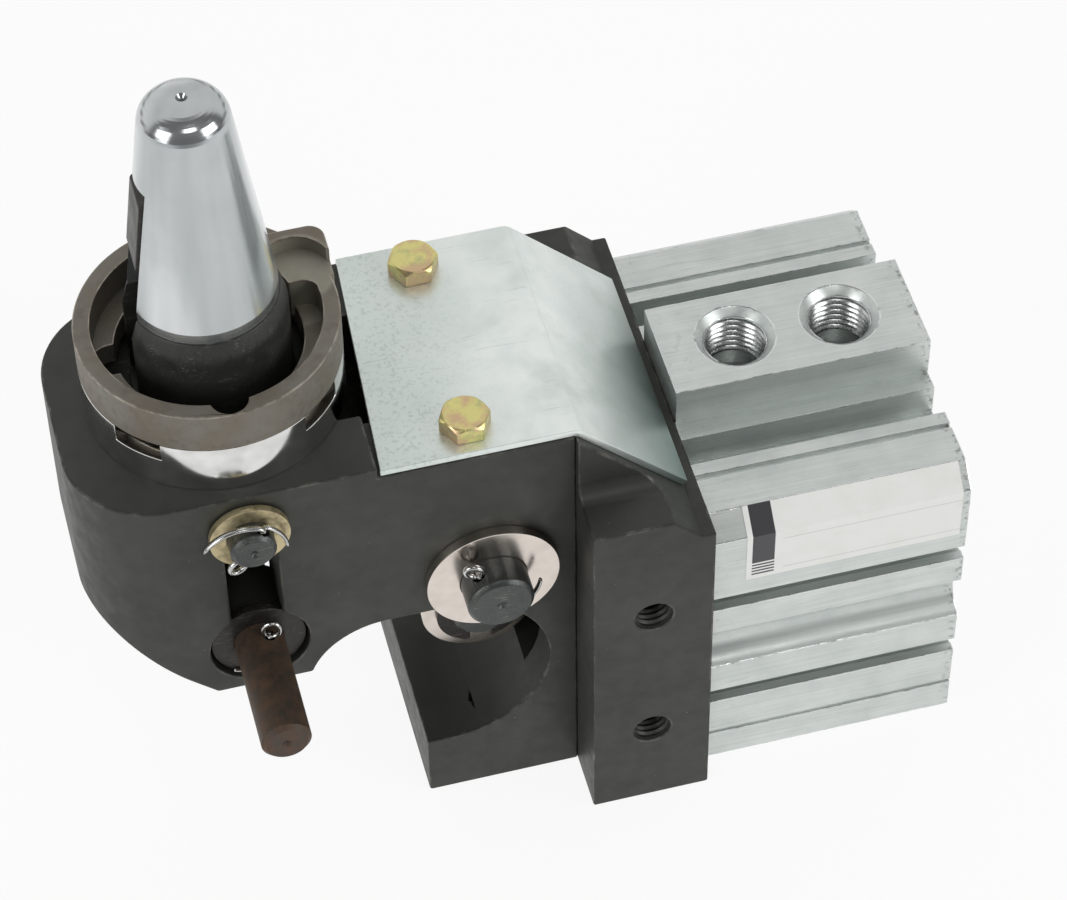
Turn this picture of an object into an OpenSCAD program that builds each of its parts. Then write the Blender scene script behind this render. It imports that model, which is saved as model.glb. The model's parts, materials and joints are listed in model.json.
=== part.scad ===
// Pin clamp cylinder: a double-acting pneumatic cylinder bolted to a clamp head.
// The rod pulls a bell-crank lever, and the lever draws a hook down inside the locating pin.
// Millimetres. +X points to the cylinder, +Y to the back, +Z up.
// The origin is the centre of the flange block's bottom face.

/* [Flange block] */
// Thickness of the flange block along the cylinder
flange_t = 22; // [20:0.5:25]
// Width of the flange block
flange_w = 73; // [73:0.5:80]
// Height of the flange block at its cylinder side
flange_h = 73.2; // [72.8:0.2:76]
// Height of the shoulders beside the centre ear
shoulder_h = 78.3; // [76.5:0.1:82]
// Width of the centre ear
ear_w = 52.6; // [51:0.2:56]
// Fillet between ear and shoulders
ear_fillet = 3; // [1:0.5:4]
// Flat strip left above the bevel
top_flat = 2.5; // [1.5:0.5:4]
// Core diameter of the tapped side holes
side_hole_d = 6.8; // [5:0.1:8.5]
// Depth of the lower tapped side holes
side_hole_depth = 15; // [14:0.5:16]
// Depth of the upper tapped side holes
side_hole_top_depth = 13; // [10:0.5:13.5]
// Height of the lower side hole
side_hole_low = 20.3; // [18.5:0.1:24]
// Distance between the two side holes of one side
side_hole_pitch = 33.2; // [28:0.2:34]

/* [Body block] */
// Width of the body block
body_w = 50; // [48:0.5:52]
// Distance from the locating pin's axis to the head's left end
head_back = 28.3; // [27:0.1:32]
// Distance from the origin to the locating pin's axis
pin_reach = 68.2; // [67.5:0.1:70]
// Corner radius of the head seen from above
head_corner_r = 16; // [10:1:20]
// Step from the cover plate's seat up to the head's top
head_rise = 2; // [1:0.1:3]
// Height of the head's bottom face
head_bottom = 43.5; // [42:0.5:45]
// Leg of the bevel under the head
chin = 20; // [10:1:24]
// Radius of the concave curve from head to neck
curve_r = 14.8; // [12:0.2:15]
// Distance from the flange face to the end of that curve
curve_x = 34.3; // [33:0.1:36]
// Height of the neck's bottom face
neck_bottom = 53.5; // [53:0.1:54]
// Height of the foot
foot_h = 15; // [12:0.5:16]
// Length of the foot
foot_len = 28.5; // [26:0.5:32]
// Wall between the throat and the flange face
throat_wall = 5.2; // [4:0.1:6.5]
// Width of the slot that holds the lever
slot_w = 25; // [24.6:0.1:26]
// Wall left of the lever slot
slot_wall = 13.5; // [10:0.5:14]
// Width of the relief around the rod pin
relief_w = 35; // [34:0.5:38]
// Height where the lever slot starts above the base
slot_floor = 24; // [20:0.5:25]
// Depth of the lever pocket in the flange block
pocket_depth = 12.5; // [12:0.5:14]
// Diameter of the foot's holes
foot_hole_d = 6; // [4:0.5:7]
// Distance from the origin to the foot's holes
foot_hole_x = 26.8; // [25:0.1:29]
// Distance between the foot's two holes
foot_hole_pitch = 36.4; // [34:0.2:38]

/* [Lever] */
// Distance from the origin to the lever's pivot
pivot_x = 26.5; // [26:0.1:27]
// Height of the lever's pivot
pivot_z = 61.5; // [61:0.1:62]
// Diameter of the pivot pin
pivot_d = 12; // [10:0.5:12]
// Length of the pivot pin outside the body on each side
pivot_out = 8; // [6.5:0.5:11]
// Wall of the lever's bush
bush_wall = 2; // [1:0.25:2.5]
// Radius of the lever's hub
hub_r = 13; // [12:0.25:13.5]
// Width of the lever
lever_w = 24; // [20:0.2:24]
// Width of the tongues that the lever's forks straddle
tongue_w = 12; // [10:0.5:13]
// Radius of the lever's lower end
lower_end_r = 9; // [8:0.25:9]
// Radius of the lever's upper end
upper_end_r = 8.5; // [7.5:0.25:8.5]

/* [Rod and pins] */
// Height of the cylinder's axis
rod_z = 37.3; // [37:0.1:38]
// Stroke of the piston rod
stroke = 7; // [5:0.5:7]
// Diameter of the piston rod
rod_d = 16; // [14:0.5:18]
// Diameter of the rod pin
rod_pin_d = 10; // [8:0.5:10]
// Radius of the rod end's eye
rod_eye_r = 9.5; // [9:0.25:10]
// Diameter of the rod pin's washers
rod_washer_d = 21; // [18:0.5:22]
// Diameter of the pivot washers
pivot_washer_d = 24; // [20:0.5:26]
// Thickness of the pivot washers
pivot_washer_t = 2; // [1:0.25:2.5]

/* [Hook drive] */
// Height of the cross pin at rest
cross_z = 86; // [85.5:0.1:86]
// Diameter of the cross pin
cross_d = 8; // [7:0.25:8]
// Length of the cross pin outside the body on each side
cross_out = 5.4; // [5:0.2:8]
// Diameter of the cross pin's washers
cross_washer_d = 14; // [12:0.5:16]
// Thickness of the cross pin's washers
cross_washer_t = 1.4; // [1:0.1:1.6]
// Width of the slots that guide the cross pin
guide_slot_w = 9.1; // [8.8:0.1:10]
// Height of the guide pin
guide_z = 54.3; // [53.5:0.1:55]
// Diameter of the guide pin
guide_d = 8.9; // [8:0.1:9.2]
// Length of the guide pin in front of the body
guide_out = 22; // [16:1:28]
// Radius of the recess round the guide pin
recess_r = 8.8; // [8.2:0.1:9.5]
// Depth of that recess
recess_depth = 3; // [2:0.25:4]
// Travel of the hook
hook_travel = 14; // [10:0.5:14]
// Angle that the hook swings out
hook_angle = 14; // [8:0.5:14]
// Length of the hook rod's flat tongue along the lever
rod_flat_w = 20; // [18:0.5:20]
// Diameter of the hook rod's round top
hook_rod_d = 15; // [14.6:0.1:15]
// Thickness of the hook
hook_t = 8; // [6:0.25:8]
// Height of the hook's pivot at rest
hook_pivot_z = 104; // [103.6:0.1:104.4]
// Diameter of the hook's pivot pin
hook_pivot_d = 4.5; // [4:0.1:4.5]
// Diameter of the fixed cam pin
cam_d = 4; // [3:0.1:4]
// Distance from the hook's pivot up to the cam pin at rest
cam_rise = 6.8; // [6.6:0.1:7]
// Distance from the pin's axis to the cam pin
cam_offset = 2.5; // [2:0.1:3]

/* [Locating pin] */
// Diameter of the locating pin at its land
pin_d = 25.2; // [24.6:0.1:26]
// Length of the cylindrical land
pin_land = 2; // [1:0.5:4]
// Height of the land's lower edge
pin_base_z = 120.2; // [119.6:0.1:121]
// Diameter of the cone's top
pin_top_d = 15.4; // [14.8:0.1:16]
// Height of the pin's tip
pin_tip_z = 164.4; // [163:0.2:168]
// Radius of the pin's domed top
pin_nose_r = 20; // [14:1:30]
// Rounding radius of the shoulder between cone and dome
pin_shoulder_r = 5; // [3:0.25:6]
// Diameter of the pin's base
base_d = 28; // [27:0.5:28]
// Thickness of the base's flange
base_flange_t = 3; // [2.5:0.25:4]
// Height of the hook's lower nose face at rest
nose_z = 131.4; // [130:0.2:133]
// Height of the hook's top at rest
hook_top_z = 147.4; // [146:0.2:149]

/* [Seat ring] */
// Outer diameter of the seat ring
seat_d = 45; // [44.6:0.1:46]
// Inner diameter of the seat ring
seat_bore = 39; // [38:0.5:39.5]
// Height of the seat ring above the collar
seat_h = 8.3; // [7.5:0.1:10]
// Inner diameter of the seat ring's lower lip
lip_bore = 32; // [31:0.5:35]
// Height of the lower lip
lip_h = 2.4; // [2:0.1:4.5]
// Width of the notches in the lip
lip_notch_w = 6.5; // [5:0.5:8]
// Outer diameter of the collar
collar_d = 45; // [43:0.5:47]
// Wall of the collar
collar_wall = 3; // [2.5:0.1:3.1]
// Height of the collar
collar_h = 10.1; // [9:0.1:12]
// Width of the collar's notches
collar_notch_w = 9; // [6:0.5:12]
// Depth of the collar's notches
collar_notch_h = 3.6; // [2:0.1:5]
// Width of the notch through the ring's front
rim_notch_w = 6.4; // [4:0.2:8]
// Wall that this notch leaves
rim_notch_wall = 0.5; // [0.5:0.1:2]
// Distance from the pin's axis to the lug's back face
lug_back = 13.4; // [12.6:0.2:16]
// Distance from the pin's axis to the lug's right face
lug_side = 22.8; // [22.6:0.1:24]
// Rise of the lug above the seat ring
lug_rise = 2.9; // [0.5:0.1:4]
// Radius of the hollow ground into the lug
hollow_r = 6; // [4:0.2:6.6]

/* [Cover plate] */
// Thickness of the cover plate
plate_t = 1.4; // [1:0.1:1.6]
// Distance from the body's sides to the cover plate's edges
plate_inset = 0.2; // [0:0.1:1]
// Distance from the flange face to the plate's front corner
plate_front = 34; // [31:0.5:34.2]
// Skew of the plate's left edge
plate_skew = 3.5; // [0:0.5:5]
// Length of the bevel flap
flap_len = 27.4; // [24:0.2:27.4]
// Distance from the origin to the cover bolts
bolt_x = 28.8; // [26:0.2:30]
// Distance between the cover bolts
bolt_pitch = 37.6; // [36:0.2:39]
// Thread diameter of the cover bolts
bolt_d = 5; // [4:0.5:5]
// Width across flats of the cover bolts
bolt_af = 8; // [7:0.5:9]
// Height of the cover bolts' heads
bolt_head_h = 3.4; // [3:0.1:4.5]

/* [Cylinder] */
// Side of the square barrel
barrel_s = 70.4; // [69:0.2:71]
// Length of the barrel
barrel_len = 47; // [46:0.5:56]
// Bore of the barrel
barrel_bore = 50; // [48:0.5:51]
// Chamfer of the barrel's edges
barrel_chamfer = 4; // [2:0.25:5]
// Width of the top rib
rib_w = 20.6; // [19:0.2:22]
// Height of the top rib above the barrel
rib_h = 8.5; // [7:0.25:11]
// Distance from the barrel's front to the first port
port_x = 13.9; // [13.7:0.1:14.5]
// Distance between the ports
port_pitch = 19.3; // [19:0.1:20]
// Core diameter of the port threads
port_d = 11.5; // [9:0.25:12]
// Depth of the port threads
port_depth = 12; // [9:0.5:14]
// Diameter of the ports' countersinks
port_rim_d = 14.5; // [13:0.25:16]
// Distance between the barrel's screws
screw_pitch = 55; // [54:0.25:56]
// Length of the front cover inside the barrel
front_cover_t = 11.2; // [10:0.1:11.4]
// Thickness of the piston
piston_t = 12; // [10:0.25:12]
// Thickness of the end cover
end_cover_t = 5.5; // [4.5:0.25:6]
// Height of the label's lower edge
label_low = 57; // [55:0.5:60]
// Length of the label
label_len = 39.5; // [30:0.5:42]

/* [Hidden] */
$fn = 72;

// Clearances
eps = 0.01;
run_fit = 0.04;
pin_fit = 0.02;
side_gap = 0.2;
body_gap = 0.3;
open_gap = 0.5;
over = 1;

// Places along X
flange_face = -flange_t / 2;
barrel_x0 = flange_t / 2;
barrel_x1 = barrel_x0 + barrel_len;
px = -pin_reach;
body_x0 = px - head_back;
vx = -pivot_x;
slot_x0 = body_x0 + slot_wall;
plate_w = body_w - 2 * plate_inset;

// Heights
seat_z = flange_h + flange_t - top_flat;
head_z = seat_z + head_rise;
collar_z = head_z + collar_h;
rim_z = collar_z + seat_h;
throat_r = (neck_bottom - foot_h) / 2;
relief_top = rod_z + 12.7;
throat_x = flange_face - throat_wall - throat_r;
barrel_top = rod_z + barrel_s / 2;
rib_top = barrel_top + rib_h;

// Lever geometry, from the pivot to the two pins that it drives
low_arm = pivot_z - rod_z;
hook_dx = vx - px;
hook_dz = cross_z - pivot_z;
hook_arm = sqrt(hook_dx * hook_dx + hook_dz * hook_dz);
low_dz = hook_dz - hook_travel;
hook_arm_min = sqrt(hook_dx * hook_dx + low_dz * low_dz);
arm_angle = 180 - atan2(hook_dz, hook_dx);
lever_angle = atan2(stroke, low_arm);
low_slot = low_arm / cos(lever_angle) - low_arm + side_gap;

// Colours
black_steel = [0.17, 0.16, 0.15];
dark_steel = [0.24, 0.23, 0.22];
bright_steel = [0.72, 0.72, 0.73];
zinc = [0.70, 0.74, 0.73];
yellow_zinc = [0.72, 0.62, 0.33];
brown_steel = [0.36, 0.31, 0.27];
anodised = [0.77, 0.78, 0.79];
bronze = [0.68, 0.50, 0.26];
rubber_black = [0.08, 0.08, 0.09];

// Basic shapes

// Child outline drawn in X and Z, extruded along Y about y = 0
module along_y(w) {
    rotate([90, 0, 0]) linear_extrude(w, center = true) children();
}

// Child outline drawn in Y and Z, extruded along +X from x0
module along_x(x0, len) {
    translate([x0, 0, 0]) rotate([90, 0, 90]) linear_extrude(len) children();
}

// Round bar along X
module bar_x(r, x0, x1, y = 0, z = 0) {
    translate([x0, y, z]) rotate([0, 90, 0]) cylinder(h = x1 - x0, r = r);
}

// Round bar along Y
module bar_y(r, y0, y1, x = 0, z = 0) {
    translate([x, y1, z]) rotate([90, 0, 0]) cylinder(h = y1 - y0, r = r);
}

// Box between two corners
module span(a, b) {
    translate(a) cube([b[0] - a[0], b[1] - a[1], b[2] - a[2]]);
}

// Child repeated on both sides of the XZ plane
module both_sides() {
    children();
    mirror([0, 1, 0]) children();
}

// Link of width w between two round ends; its sides run a hair inside their common tangents
module link(p, rp, q, rq, w) {
    d = norm(q - p);
    dir = atan2(q[1] - p[1], q[0] - p[0]);
    a = acos((rp - rq) / d);
    sp = rp - eps;
    sq = rq - eps;
    bar_y(rp, -w / 2, w / 2, p[0], p[1]);
    bar_y(rq, -w / 2, w / 2, q[0], q[1]);
    along_y(w) polygon([
        p + sp * [cos(dir + a), sin(dir + a)], q + sq * [cos(dir + a), sin(dir + a)],
        q + sq * [cos(dir - a), sin(dir - a)], p + sp * [cos(dir - a), sin(dir - a)]
    ]);
}

// Socket screw along X: head towards +X, tip at x_tip
module socket_screw(d, x_tip, x_head, y, z) {
    difference() {
        union() {
            bar_x(d / 2 - eps * 3, x_tip, x_head + eps, y, z);
            bar_x(d * 0.83, x_head, x_head + d, y, z);
        }
        translate([x_head + d / 2, y, z]) rotate([0, 90, 0]) cylinder(h = d, r = d * 0.48, $fn = 6);
    }
}

// Split pin along X through a pin of radius r, with its eye outside and its legs bent
cotter_d = 2.4;
eye_wire = 1.1;
module cotter(r) {
    reach = r + 1.2;
    rotate([0, 90, 0]) translate([0, 0, -reach]) cylinder(h = 2 * reach, d = cotter_d);
    translate([-reach - cotter_d * 0.9, 0, 0]) rotate([90, 0, 0])
        rotate_extrude() translate([cotter_d * 0.62, 0]) circle(d = eye_wire * 1.6);
    for (s = [-1, 1])
        translate([reach - 0.6, 0, 0]) rotate([0, 90 + 35 * s, 0]) cylinder(h = 3.6, d = cotter_d * 0.62);
}

// Two split pins, one near each end of a pin along Y
module cotter_pair(x, z, r, front, back, turn) {
    for (y = [front, back])
        translate([x, y, z]) rotate([0, turn, 0]) cotter(r);
}

// Washer along Y with its inner face at y0
module washer_y(ri, ro, y0, t, x, z) {
    difference() {
        bar_y(ro, y0, y0 + t, x, z);
        bar_y(ri, y0 - over, y0 + t + over, x, z);
    }
}

// Round pin along Y with small end chamfers and centre marks
pin_chamfer = 0.8;
module turned_pin(r, y0, y1, x, z) {
    c = pin_chamfer;
    translate([x, y1, z]) rotate([90, 0, 0]) rotate_extrude()
        polygon([[0, 0.9], [0.9, 0], [r - c, 0], [r, c], [r, y1 - y0 - c],
            [r - c, y1 - y0], [0.9, y1 - y0], [0, y1 - y0 - 0.9]]);
}

// Ring along X made from its inner and outer radius
module ring_x(ri, ro, x0, x1) {
    difference() {
        bar_x(ro, x0, x1, 0, rod_z);
        bar_x(ri, x0 - over, x1 + over, 0, rod_z);
    }
}

// Flange block
body_screw_d = 6;
body_screw_y = 18;
body_screw_z = [7.5, 66.5];
body_screw_tip = flange_face - 8.5;
counterbore_r = 5.3;
spigot_r = 15;

module flange_outline() {
    translate([-flange_w / 2, 0]) square([flange_w, shoulder_h]);
    translate([-ear_w / 2, 0]) square([ear_w, seat_z + over]);
    for (s = [-1, 1])
        difference() {
            translate([s > 0 ? ear_w / 2 - eps : -ear_w / 2 - ear_fillet + eps, shoulder_h - eps])
                square([ear_fillet, ear_fillet]);
            translate([s * (ear_w / 2 + ear_fillet), shoulder_h + ear_fillet]) circle(r = ear_fillet);
        }
}

module side_holes() {
    r = side_hole_d / 2;
    both_sides() {
        bar_y(r, flange_w / 2 - side_hole_depth, flange_w / 2 + over, 0, side_hole_low);
        bar_y(r, flange_w / 2 - side_hole_top_depth, flange_w / 2 + over, 0, side_hole_low + side_hole_pitch);
    }
}

module flange_block() {
    hx = flange_t / 2;
    color(black_steel) difference() {
        intersection() {
            along_x(-hx, flange_t) flange_outline();
            along_y(flange_w + 2) polygon([
                [-hx, 0], [hx, 0], [hx, flange_h], [hx - top_flat, flange_h], [-hx, seat_z]
            ]);
        }
        side_holes();
        bar_x(spigot_r, -hx - over, hx + over, 0, rod_z);
        span([-hx - over, -slot_w / 2, slot_floor], [-hx + pocket_depth, slot_w / 2, seat_z + over]);
        span([-hx - over, -relief_w / 2, slot_floor], [-hx + pocket_depth, relief_w / 2, relief_top]);
        both_sides() {
            for (z = body_screw_z) {
                bar_x(body_screw_d / 2 + 0.2, -hx - over, hx, body_screw_y, z);
                bar_x(counterbore_r, hx - body_screw_d - 0.5, hx + over, body_screw_y, z);
            }
            for (s = [-1, 1])
                bar_x(3, hx - 14, hx + over, screw_pitch / 2, rod_z + s * screw_pitch / 2);
        }
    }
}

// Body block with head, neck, throat and foot
cross_travel_low = cross_z - hook_travel;

module body_profile() {
    difference() {
        polygon([
            [flange_face, 0], [flange_face, seat_z], [flange_face - plate_front - 0.4, seat_z],
            [flange_face - plate_front - 0.4, head_z], [body_x0, head_z],
            [body_x0, head_bottom + chin], [body_x0 + chin, head_bottom],
            [flange_face - foot_len, head_bottom], [flange_face - foot_len, 0]
        ]);
        translate([flange_face - curve_x, neck_bottom - curve_r]) circle(r = curve_r);
        translate([flange_face - curve_x, foot_h])
            square([curve_x - throat_wall - throat_r, neck_bottom - foot_h]);
        translate([throat_x, foot_h + throat_r]) circle(r = throat_r);
    }
}

module head_plan() {
    r = head_corner_r;
    difference() {
        translate([body_x0, -body_w / 2]) square([flange_face - body_x0, body_w]);
        for (s = [-1, 1])
            difference() {
                translate([body_x0 - eps, s > 0 ? body_w / 2 - r : -body_w / 2 - eps]) square(r + eps);
                translate([body_x0 + r, s * (body_w / 2 - r)]) circle(r = r);
            }
    }
}

module guide_slots() {
    r = guide_slot_w / 2;
    top = cross_z + r - cross_d / 2 - 0.1;
    bar_y(r, -body_w / 2 - over, body_w / 2 + over, px, top);
    span([px - r, -body_w / 2 - over, guide_z], [px + r, body_w / 2 + over, top]);
}

module body_block() {
    color(black_steel) difference() {
        intersection() {
            along_y(body_w + 2) body_profile();
            linear_extrude(head_z + over) head_plan();
        }
        span([slot_x0, -slot_w / 2, slot_floor], [flange_face + over, slot_w / 2, head_z + over]);
        span([flange_face - throat_wall - 9, -relief_w / 2, slot_floor],
            [flange_face + over, relief_w / 2, relief_top]);
        bar_y(pivot_d / 2 + pin_fit, -body_w, body_w, vx, pivot_z);
        difference() {
            guide_slots();
            bar_y(guide_d / 2 + 3, -body_w / 2 + recess_depth, body_w / 2 - recess_depth, px, guide_z);
        }
        bar_y(guide_d / 2 + pin_fit, -body_w, body_w, px, guide_z);
        both_sides() {
            bar_y(recess_r, body_w / 2 - recess_depth, body_w / 2 + over, px, guide_z);
            translate([-foot_hole_x, foot_hole_pitch / 2, -over]) cylinder(h = foot_h + 2, d = foot_hole_d);
            for (z = body_screw_z)
                bar_x(body_screw_d / 2, body_screw_tip - 0.6, flange_face + over, body_screw_y, z);
            translate([-bolt_x, bolt_pitch / 2, seat_z - 12]) cylinder(h = 14, d = bolt_d);
        }
        for (a = base_screw_angles)
            translate([px + base_screw_r * cos(a), base_screw_r * sin(a), head_z - 8])
                cylinder(h = 9, r = 1.5);
    }
}

module body_screws() {
    color(dark_steel) both_sides()
        for (z = body_screw_z)
            socket_screw(body_screw_d, body_screw_tip, flange_t / 2 - body_screw_d - 0.5, body_screw_y, z);
}

// Folded cover plate and its bolts
module cover_plate() {
    leg = flap_len / sqrt(2);
    lip = plate_t / sqrt(2);
    bend = plate_t * tan(22.5);
    color(zinc) difference() {
        intersection() {
            along_y(plate_w) polygon([
                [flange_face - plate_front, seat_z], [flange_face, seat_z],
                [flange_face + leg, seat_z - leg], [flange_face + leg + lip, seat_z - leg + lip],
                [flange_face + bend, seat_z + plate_t], [flange_face - plate_front, seat_z + plate_t]
            ]);
            translate([0, 0, seat_z - flap_len]) linear_extrude(2 * flap_len) polygon([
                [flange_face - plate_front, -plate_w / 2], [flange_t, -plate_w / 2],
                [flange_t, plate_w / 2], [flange_face - plate_front + plate_skew, plate_w / 2]
            ]);
        }
        both_sides()
            translate([-bolt_x, bolt_pitch / 2, seat_z - over]) cylinder(h = plate_t + 2, d = bolt_d + 0.5);
    }
}

module cover_bolts() {
    head = seat_z + plate_t;
    color(yellow_zinc) both_sides()
        translate([-bolt_x, bolt_pitch / 2, 0]) {
            translate([0, 0, head - 11]) cylinder(h = 11 + eps, r = bolt_d / 2 - 0.05);
            intersection() {
                translate([0, 0, head]) cylinder(h = bolt_head_h, r = bolt_af / 2 / cos(30), $fn = 6);
                translate([0, 0, head - over])
                    cylinder(h = bolt_head_h + over, r1 = bolt_af, r2 = bolt_af / 2 - 0.2);
            }
        }
}

// Collar, seat ring and base of the locating pin
base_screw_r = 16.7;
base_screw_angles = [60, 120, 240, 300];
collar_bore_r = collar_d / 2 - collar_wall;

module collar_ring() {
    color(bright_steel) translate([px, 0, 0]) difference() {
        translate([0, 0, head_z]) cylinder(h = collar_h, d = collar_d);
        translate([0, 0, head_z - over]) cylinder(h = collar_h + 2, r = collar_bore_r);
        for (a = [45, 135, 225, 315])
            rotate([0, 0, a]) span([12, -collar_notch_w / 2, collar_z - collar_notch_h],
                [collar_d, collar_notch_w / 2, collar_z + over]);
    }
}

lug_round = 2.8;
lug_front = 3.8;
lug_step = 7.2;
land_r = base_d / 2 + 1.3;
land_round = 2.6;
hollow_at = [16.5, 5.4];

module lug_block(y0, z0, z1) {
    inner = lug_side - lug_round;
    span([12, y0, z0], [inner, lug_back, z1]);
    span([inner - over, y0, z0], [lug_side, lug_back - lug_round, z1]);
    translate([inner, lug_back - lug_round, z0]) cylinder(h = z1 - z0, r = lug_round);
}

module land_corner() {
    x = seat_bore / 2 + 0.1 - land_round;
    y = lug_front - land_round;
    difference() {
        span([x, y, collar_z], [x + land_round + 0.4, lug_front + over, rim_z]);
        translate([x, y, collar_z - over]) cylinder(h = seat_h + 2, r = land_round);
    }
}

module seat_lug() {
    difference() {
        union() {
            lug_block(lug_front, collar_z, rim_z);
            lug_block(lug_step, rim_z - over, rim_z + lug_rise);
            land_corner();
        }
        translate([0, 0, collar_z - over]) cylinder(h = seat_h + lug_rise + 2, r = land_r);
        translate([hollow_at[0], hollow_at[1], rim_z]) cylinder(h = lug_rise + over, r = hollow_r);
    }
}

module seat_ring() {
    notch_r = lip_notch_w / 2;
    notch_x = lip_bore / 2 + 0.6;
    front_r = rim_notch_w / 2;
    color(brown_steel) translate([px, 0, 0]) difference() {
        union() {
            difference() {
                union() {
                    translate([0, 0, collar_z]) cylinder(h = seat_h, d = seat_d);
                    translate([0, 0, collar_z - 2]) cylinder(h = 2 + eps, r = collar_bore_r - 0.02);
                }
                translate([0, 0, collar_z - 3]) cylinder(h = seat_h + 12, d = lip_bore);
                translate([0, 0, collar_z + lip_h]) cylinder(h = seat_h, d = seat_bore);
            }
            seat_lug();
        }
        for (a = [90 : 90 : 270])
            rotate([0, 0, a]) {
                span([10, -notch_r, collar_z - 3], [notch_x, notch_r, collar_z + lip_h + over]);
                translate([notch_x, 0, collar_z - 3]) cylinder(h = 8, r = notch_r);
            }
        translate([0, front_r + rim_notch_wall - seat_d / 2, collar_z + lip_h - over])
            cylinder(h = seat_h, r = front_r);
    }
}

cam_front = base_d / 2 - 2.6;
module pin_slot() {
    w = hook_t / 2 + 0.25;
    span([px - 10.5, -w, head_z - over], [px + 9, w, pin_base_z]);
    span([px - base_d, -w, head_z + 5.5], [px + 9, w, pin_base_z + over]);
}

module pin_base() {
    neck = pin_base_z - 4;
    color(dark_steel) difference() {
        translate([px, 0, 0]) rotate_extrude() polygon([
            [hook_rod_d / 2 + run_fit, head_z], [collar_bore_r - 0.06, head_z],
            [collar_bore_r - 0.06, head_z + base_flange_t], [base_d / 2, head_z + base_flange_t],
            [base_d / 2, neck], [pin_d / 2 + 0.3, pin_base_z], [10.5, pin_base_z],
            [10.5, pin_base_z - 2.9], [hook_rod_d / 2 + run_fit, pin_base_z - 2.9]
        ]);
        pin_slot();
        bar_y(cam_d / 2 + pin_fit, -cam_front - 0.2, base_d, px - cam_offset, hook_pivot_z + cam_rise);
        for (a = base_screw_angles)
            translate([px + base_screw_r * cos(a), base_screw_r * sin(a), head_z - over])
                cylinder(h = base_flange_t + 2, r = 1.6);
    }
}

module base_screws() {
    top = head_z + base_flange_t;
    color(dark_steel)
        for (a = base_screw_angles)
            translate([px + base_screw_r * cos(a), base_screw_r * sin(a), 0]) difference() {
                union() {
                    translate([0, 0, top - 10]) cylinder(h = 10 + eps, r = 1.45);
                    translate([0, 0, top]) cylinder(h = 3, r = 2.55);
                }
                translate([0, 0, top + 1.5]) cylinder(h = 2, r = 1.4, $fn = 6);
            }
}

hook_bend = 22;
shoulder_steps = 10;
function arc_point(centre, r, a) = centre + r * [cos(a), sin(a)];

// Profile of the locating pin: land, cone, rounded shoulder tangent to the cone, domed top
module pin_profile() {
    land_z = pin_base_z + pin_land;
    cone_top = pin_tip_z - 5;
    taper = atan((pin_d - pin_top_d) / 2 / (cone_top - land_z));
    out = [cos(taper), sin(taper)];
    up = [-sin(taper), cos(taper)];
    dome = [0, pin_tip_z - pin_nose_r];
    far = out * [pin_top_d / 2, cone_top] - pin_shoulder_r;
    side = far - out * dome;
    rise = sqrt(pow(pin_nose_r - pin_shoulder_r, 2) - side * side);
    centre = far * out + (rise + up * dome) * up;
    last = atan2(centre[1] - dome[1], centre[0]);
    polygon(concat(
        [
            [0, pin_base_z - 2.9], [10.48, pin_base_z - 2.9], [10.48, pin_base_z],
            [pin_d / 2, pin_base_z], [pin_d / 2, land_z]
        ],
        [for (i = [0 : shoulder_steps])
            arc_point(centre, pin_shoulder_r, taper + (last - taper) * i / shoulder_steps)],
        [for (i = [1 : shoulder_steps])
            arc_point(dome, pin_nose_r, last + (90 - last) * i / shoulder_steps)]
    ));
}

// Locating pin, chromed cone with a slot for the hook
module locating_pin() {
    w = hook_t / 2 + 0.25;
    color(bright_steel) difference() {
        translate([px, 0, 0]) rotate_extrude() pin_profile();
        along_y(2 * w) polygon([
            [px - pin_d, pin_base_z - 4], [px + 7.4, pin_base_z - 4], [px + 7.4, hook_pivot_z + hook_bend],
            [px + 4.2, hook_top_z + 0.9], [px - pin_d, hook_top_z + 0.9]
        ]);
        translate([px, 0, pin_tip_z - 1.2]) cylinder(h = 2, r1 = 0.1, r2 = 1.6);
    }
}

module hook_cam_pin() {
    back = sqrt(base_d * base_d / 4 - cam_offset * cam_offset) - 0.1;
    color(bright_steel) bar_y(cam_d / 2, -cam_front, back, px - cam_offset, hook_pivot_z + cam_rise);
}

// Hook: its cam slot is the path of the fixed cam pin seen from the moving hook
function cam_turn(s) = hook_angle * s / hook_travel;
function cam_point(s) = let (a = cam_turn(s), h = cam_rise + s)
    [-cam_offset * cos(a) + h * sin(a), cam_offset * sin(a) + h * cos(a)];
function cam_normal(s) = let (d = cam_point(s + 0.1) - cam_point(s - 0.1)) [-d[1], d[0]] / norm(d);
cam_steps = 14;
hook_eye_r = 5.2;

module cam_slot() {
    r = cam_d / 2 + side_gap;
    along_y(hook_t + 2) polygon(concat(
        [for (i = [0 : cam_steps]) let (s = i * hook_travel / cam_steps) cam_point(s) + r * cam_normal(s)],
        [for (i = [cam_steps : -1 : 0]) let (s = i * hook_travel / cam_steps) cam_point(s) - r * cam_normal(s)]
    ));
    for (s = [0, hook_travel])
        bar_y(r + eps, -hook_t, hook_t, cam_point(s)[0], cam_point(s)[1]);
}

module hook_outline() {
    nose = nose_z - hook_pivot_z;
    top = hook_top_z - hook_pivot_z;
    taper = (pin_d - pin_top_d) / 2 / (pin_tip_z - 5 - pin_base_z - pin_land);
    edge = pin_d / 2 - 0.2 - taper * (nose_z - pin_base_z - pin_land);
    tip = pin_d / 2 - 0.2 - taper * (hook_top_z - 2 - pin_base_z - pin_land);
    polygon([
        [-4.8, 0], [-5.9, 3], [-5.9, nose - 0.8], [-edge, nose], [-tip, top - 2], [-tip + 2, top],
        [2.2, top], [3.6, top - 2.6], [6.9, hook_bend], [6.9, 3], [4.8, 0]
    ]);
}

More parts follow.
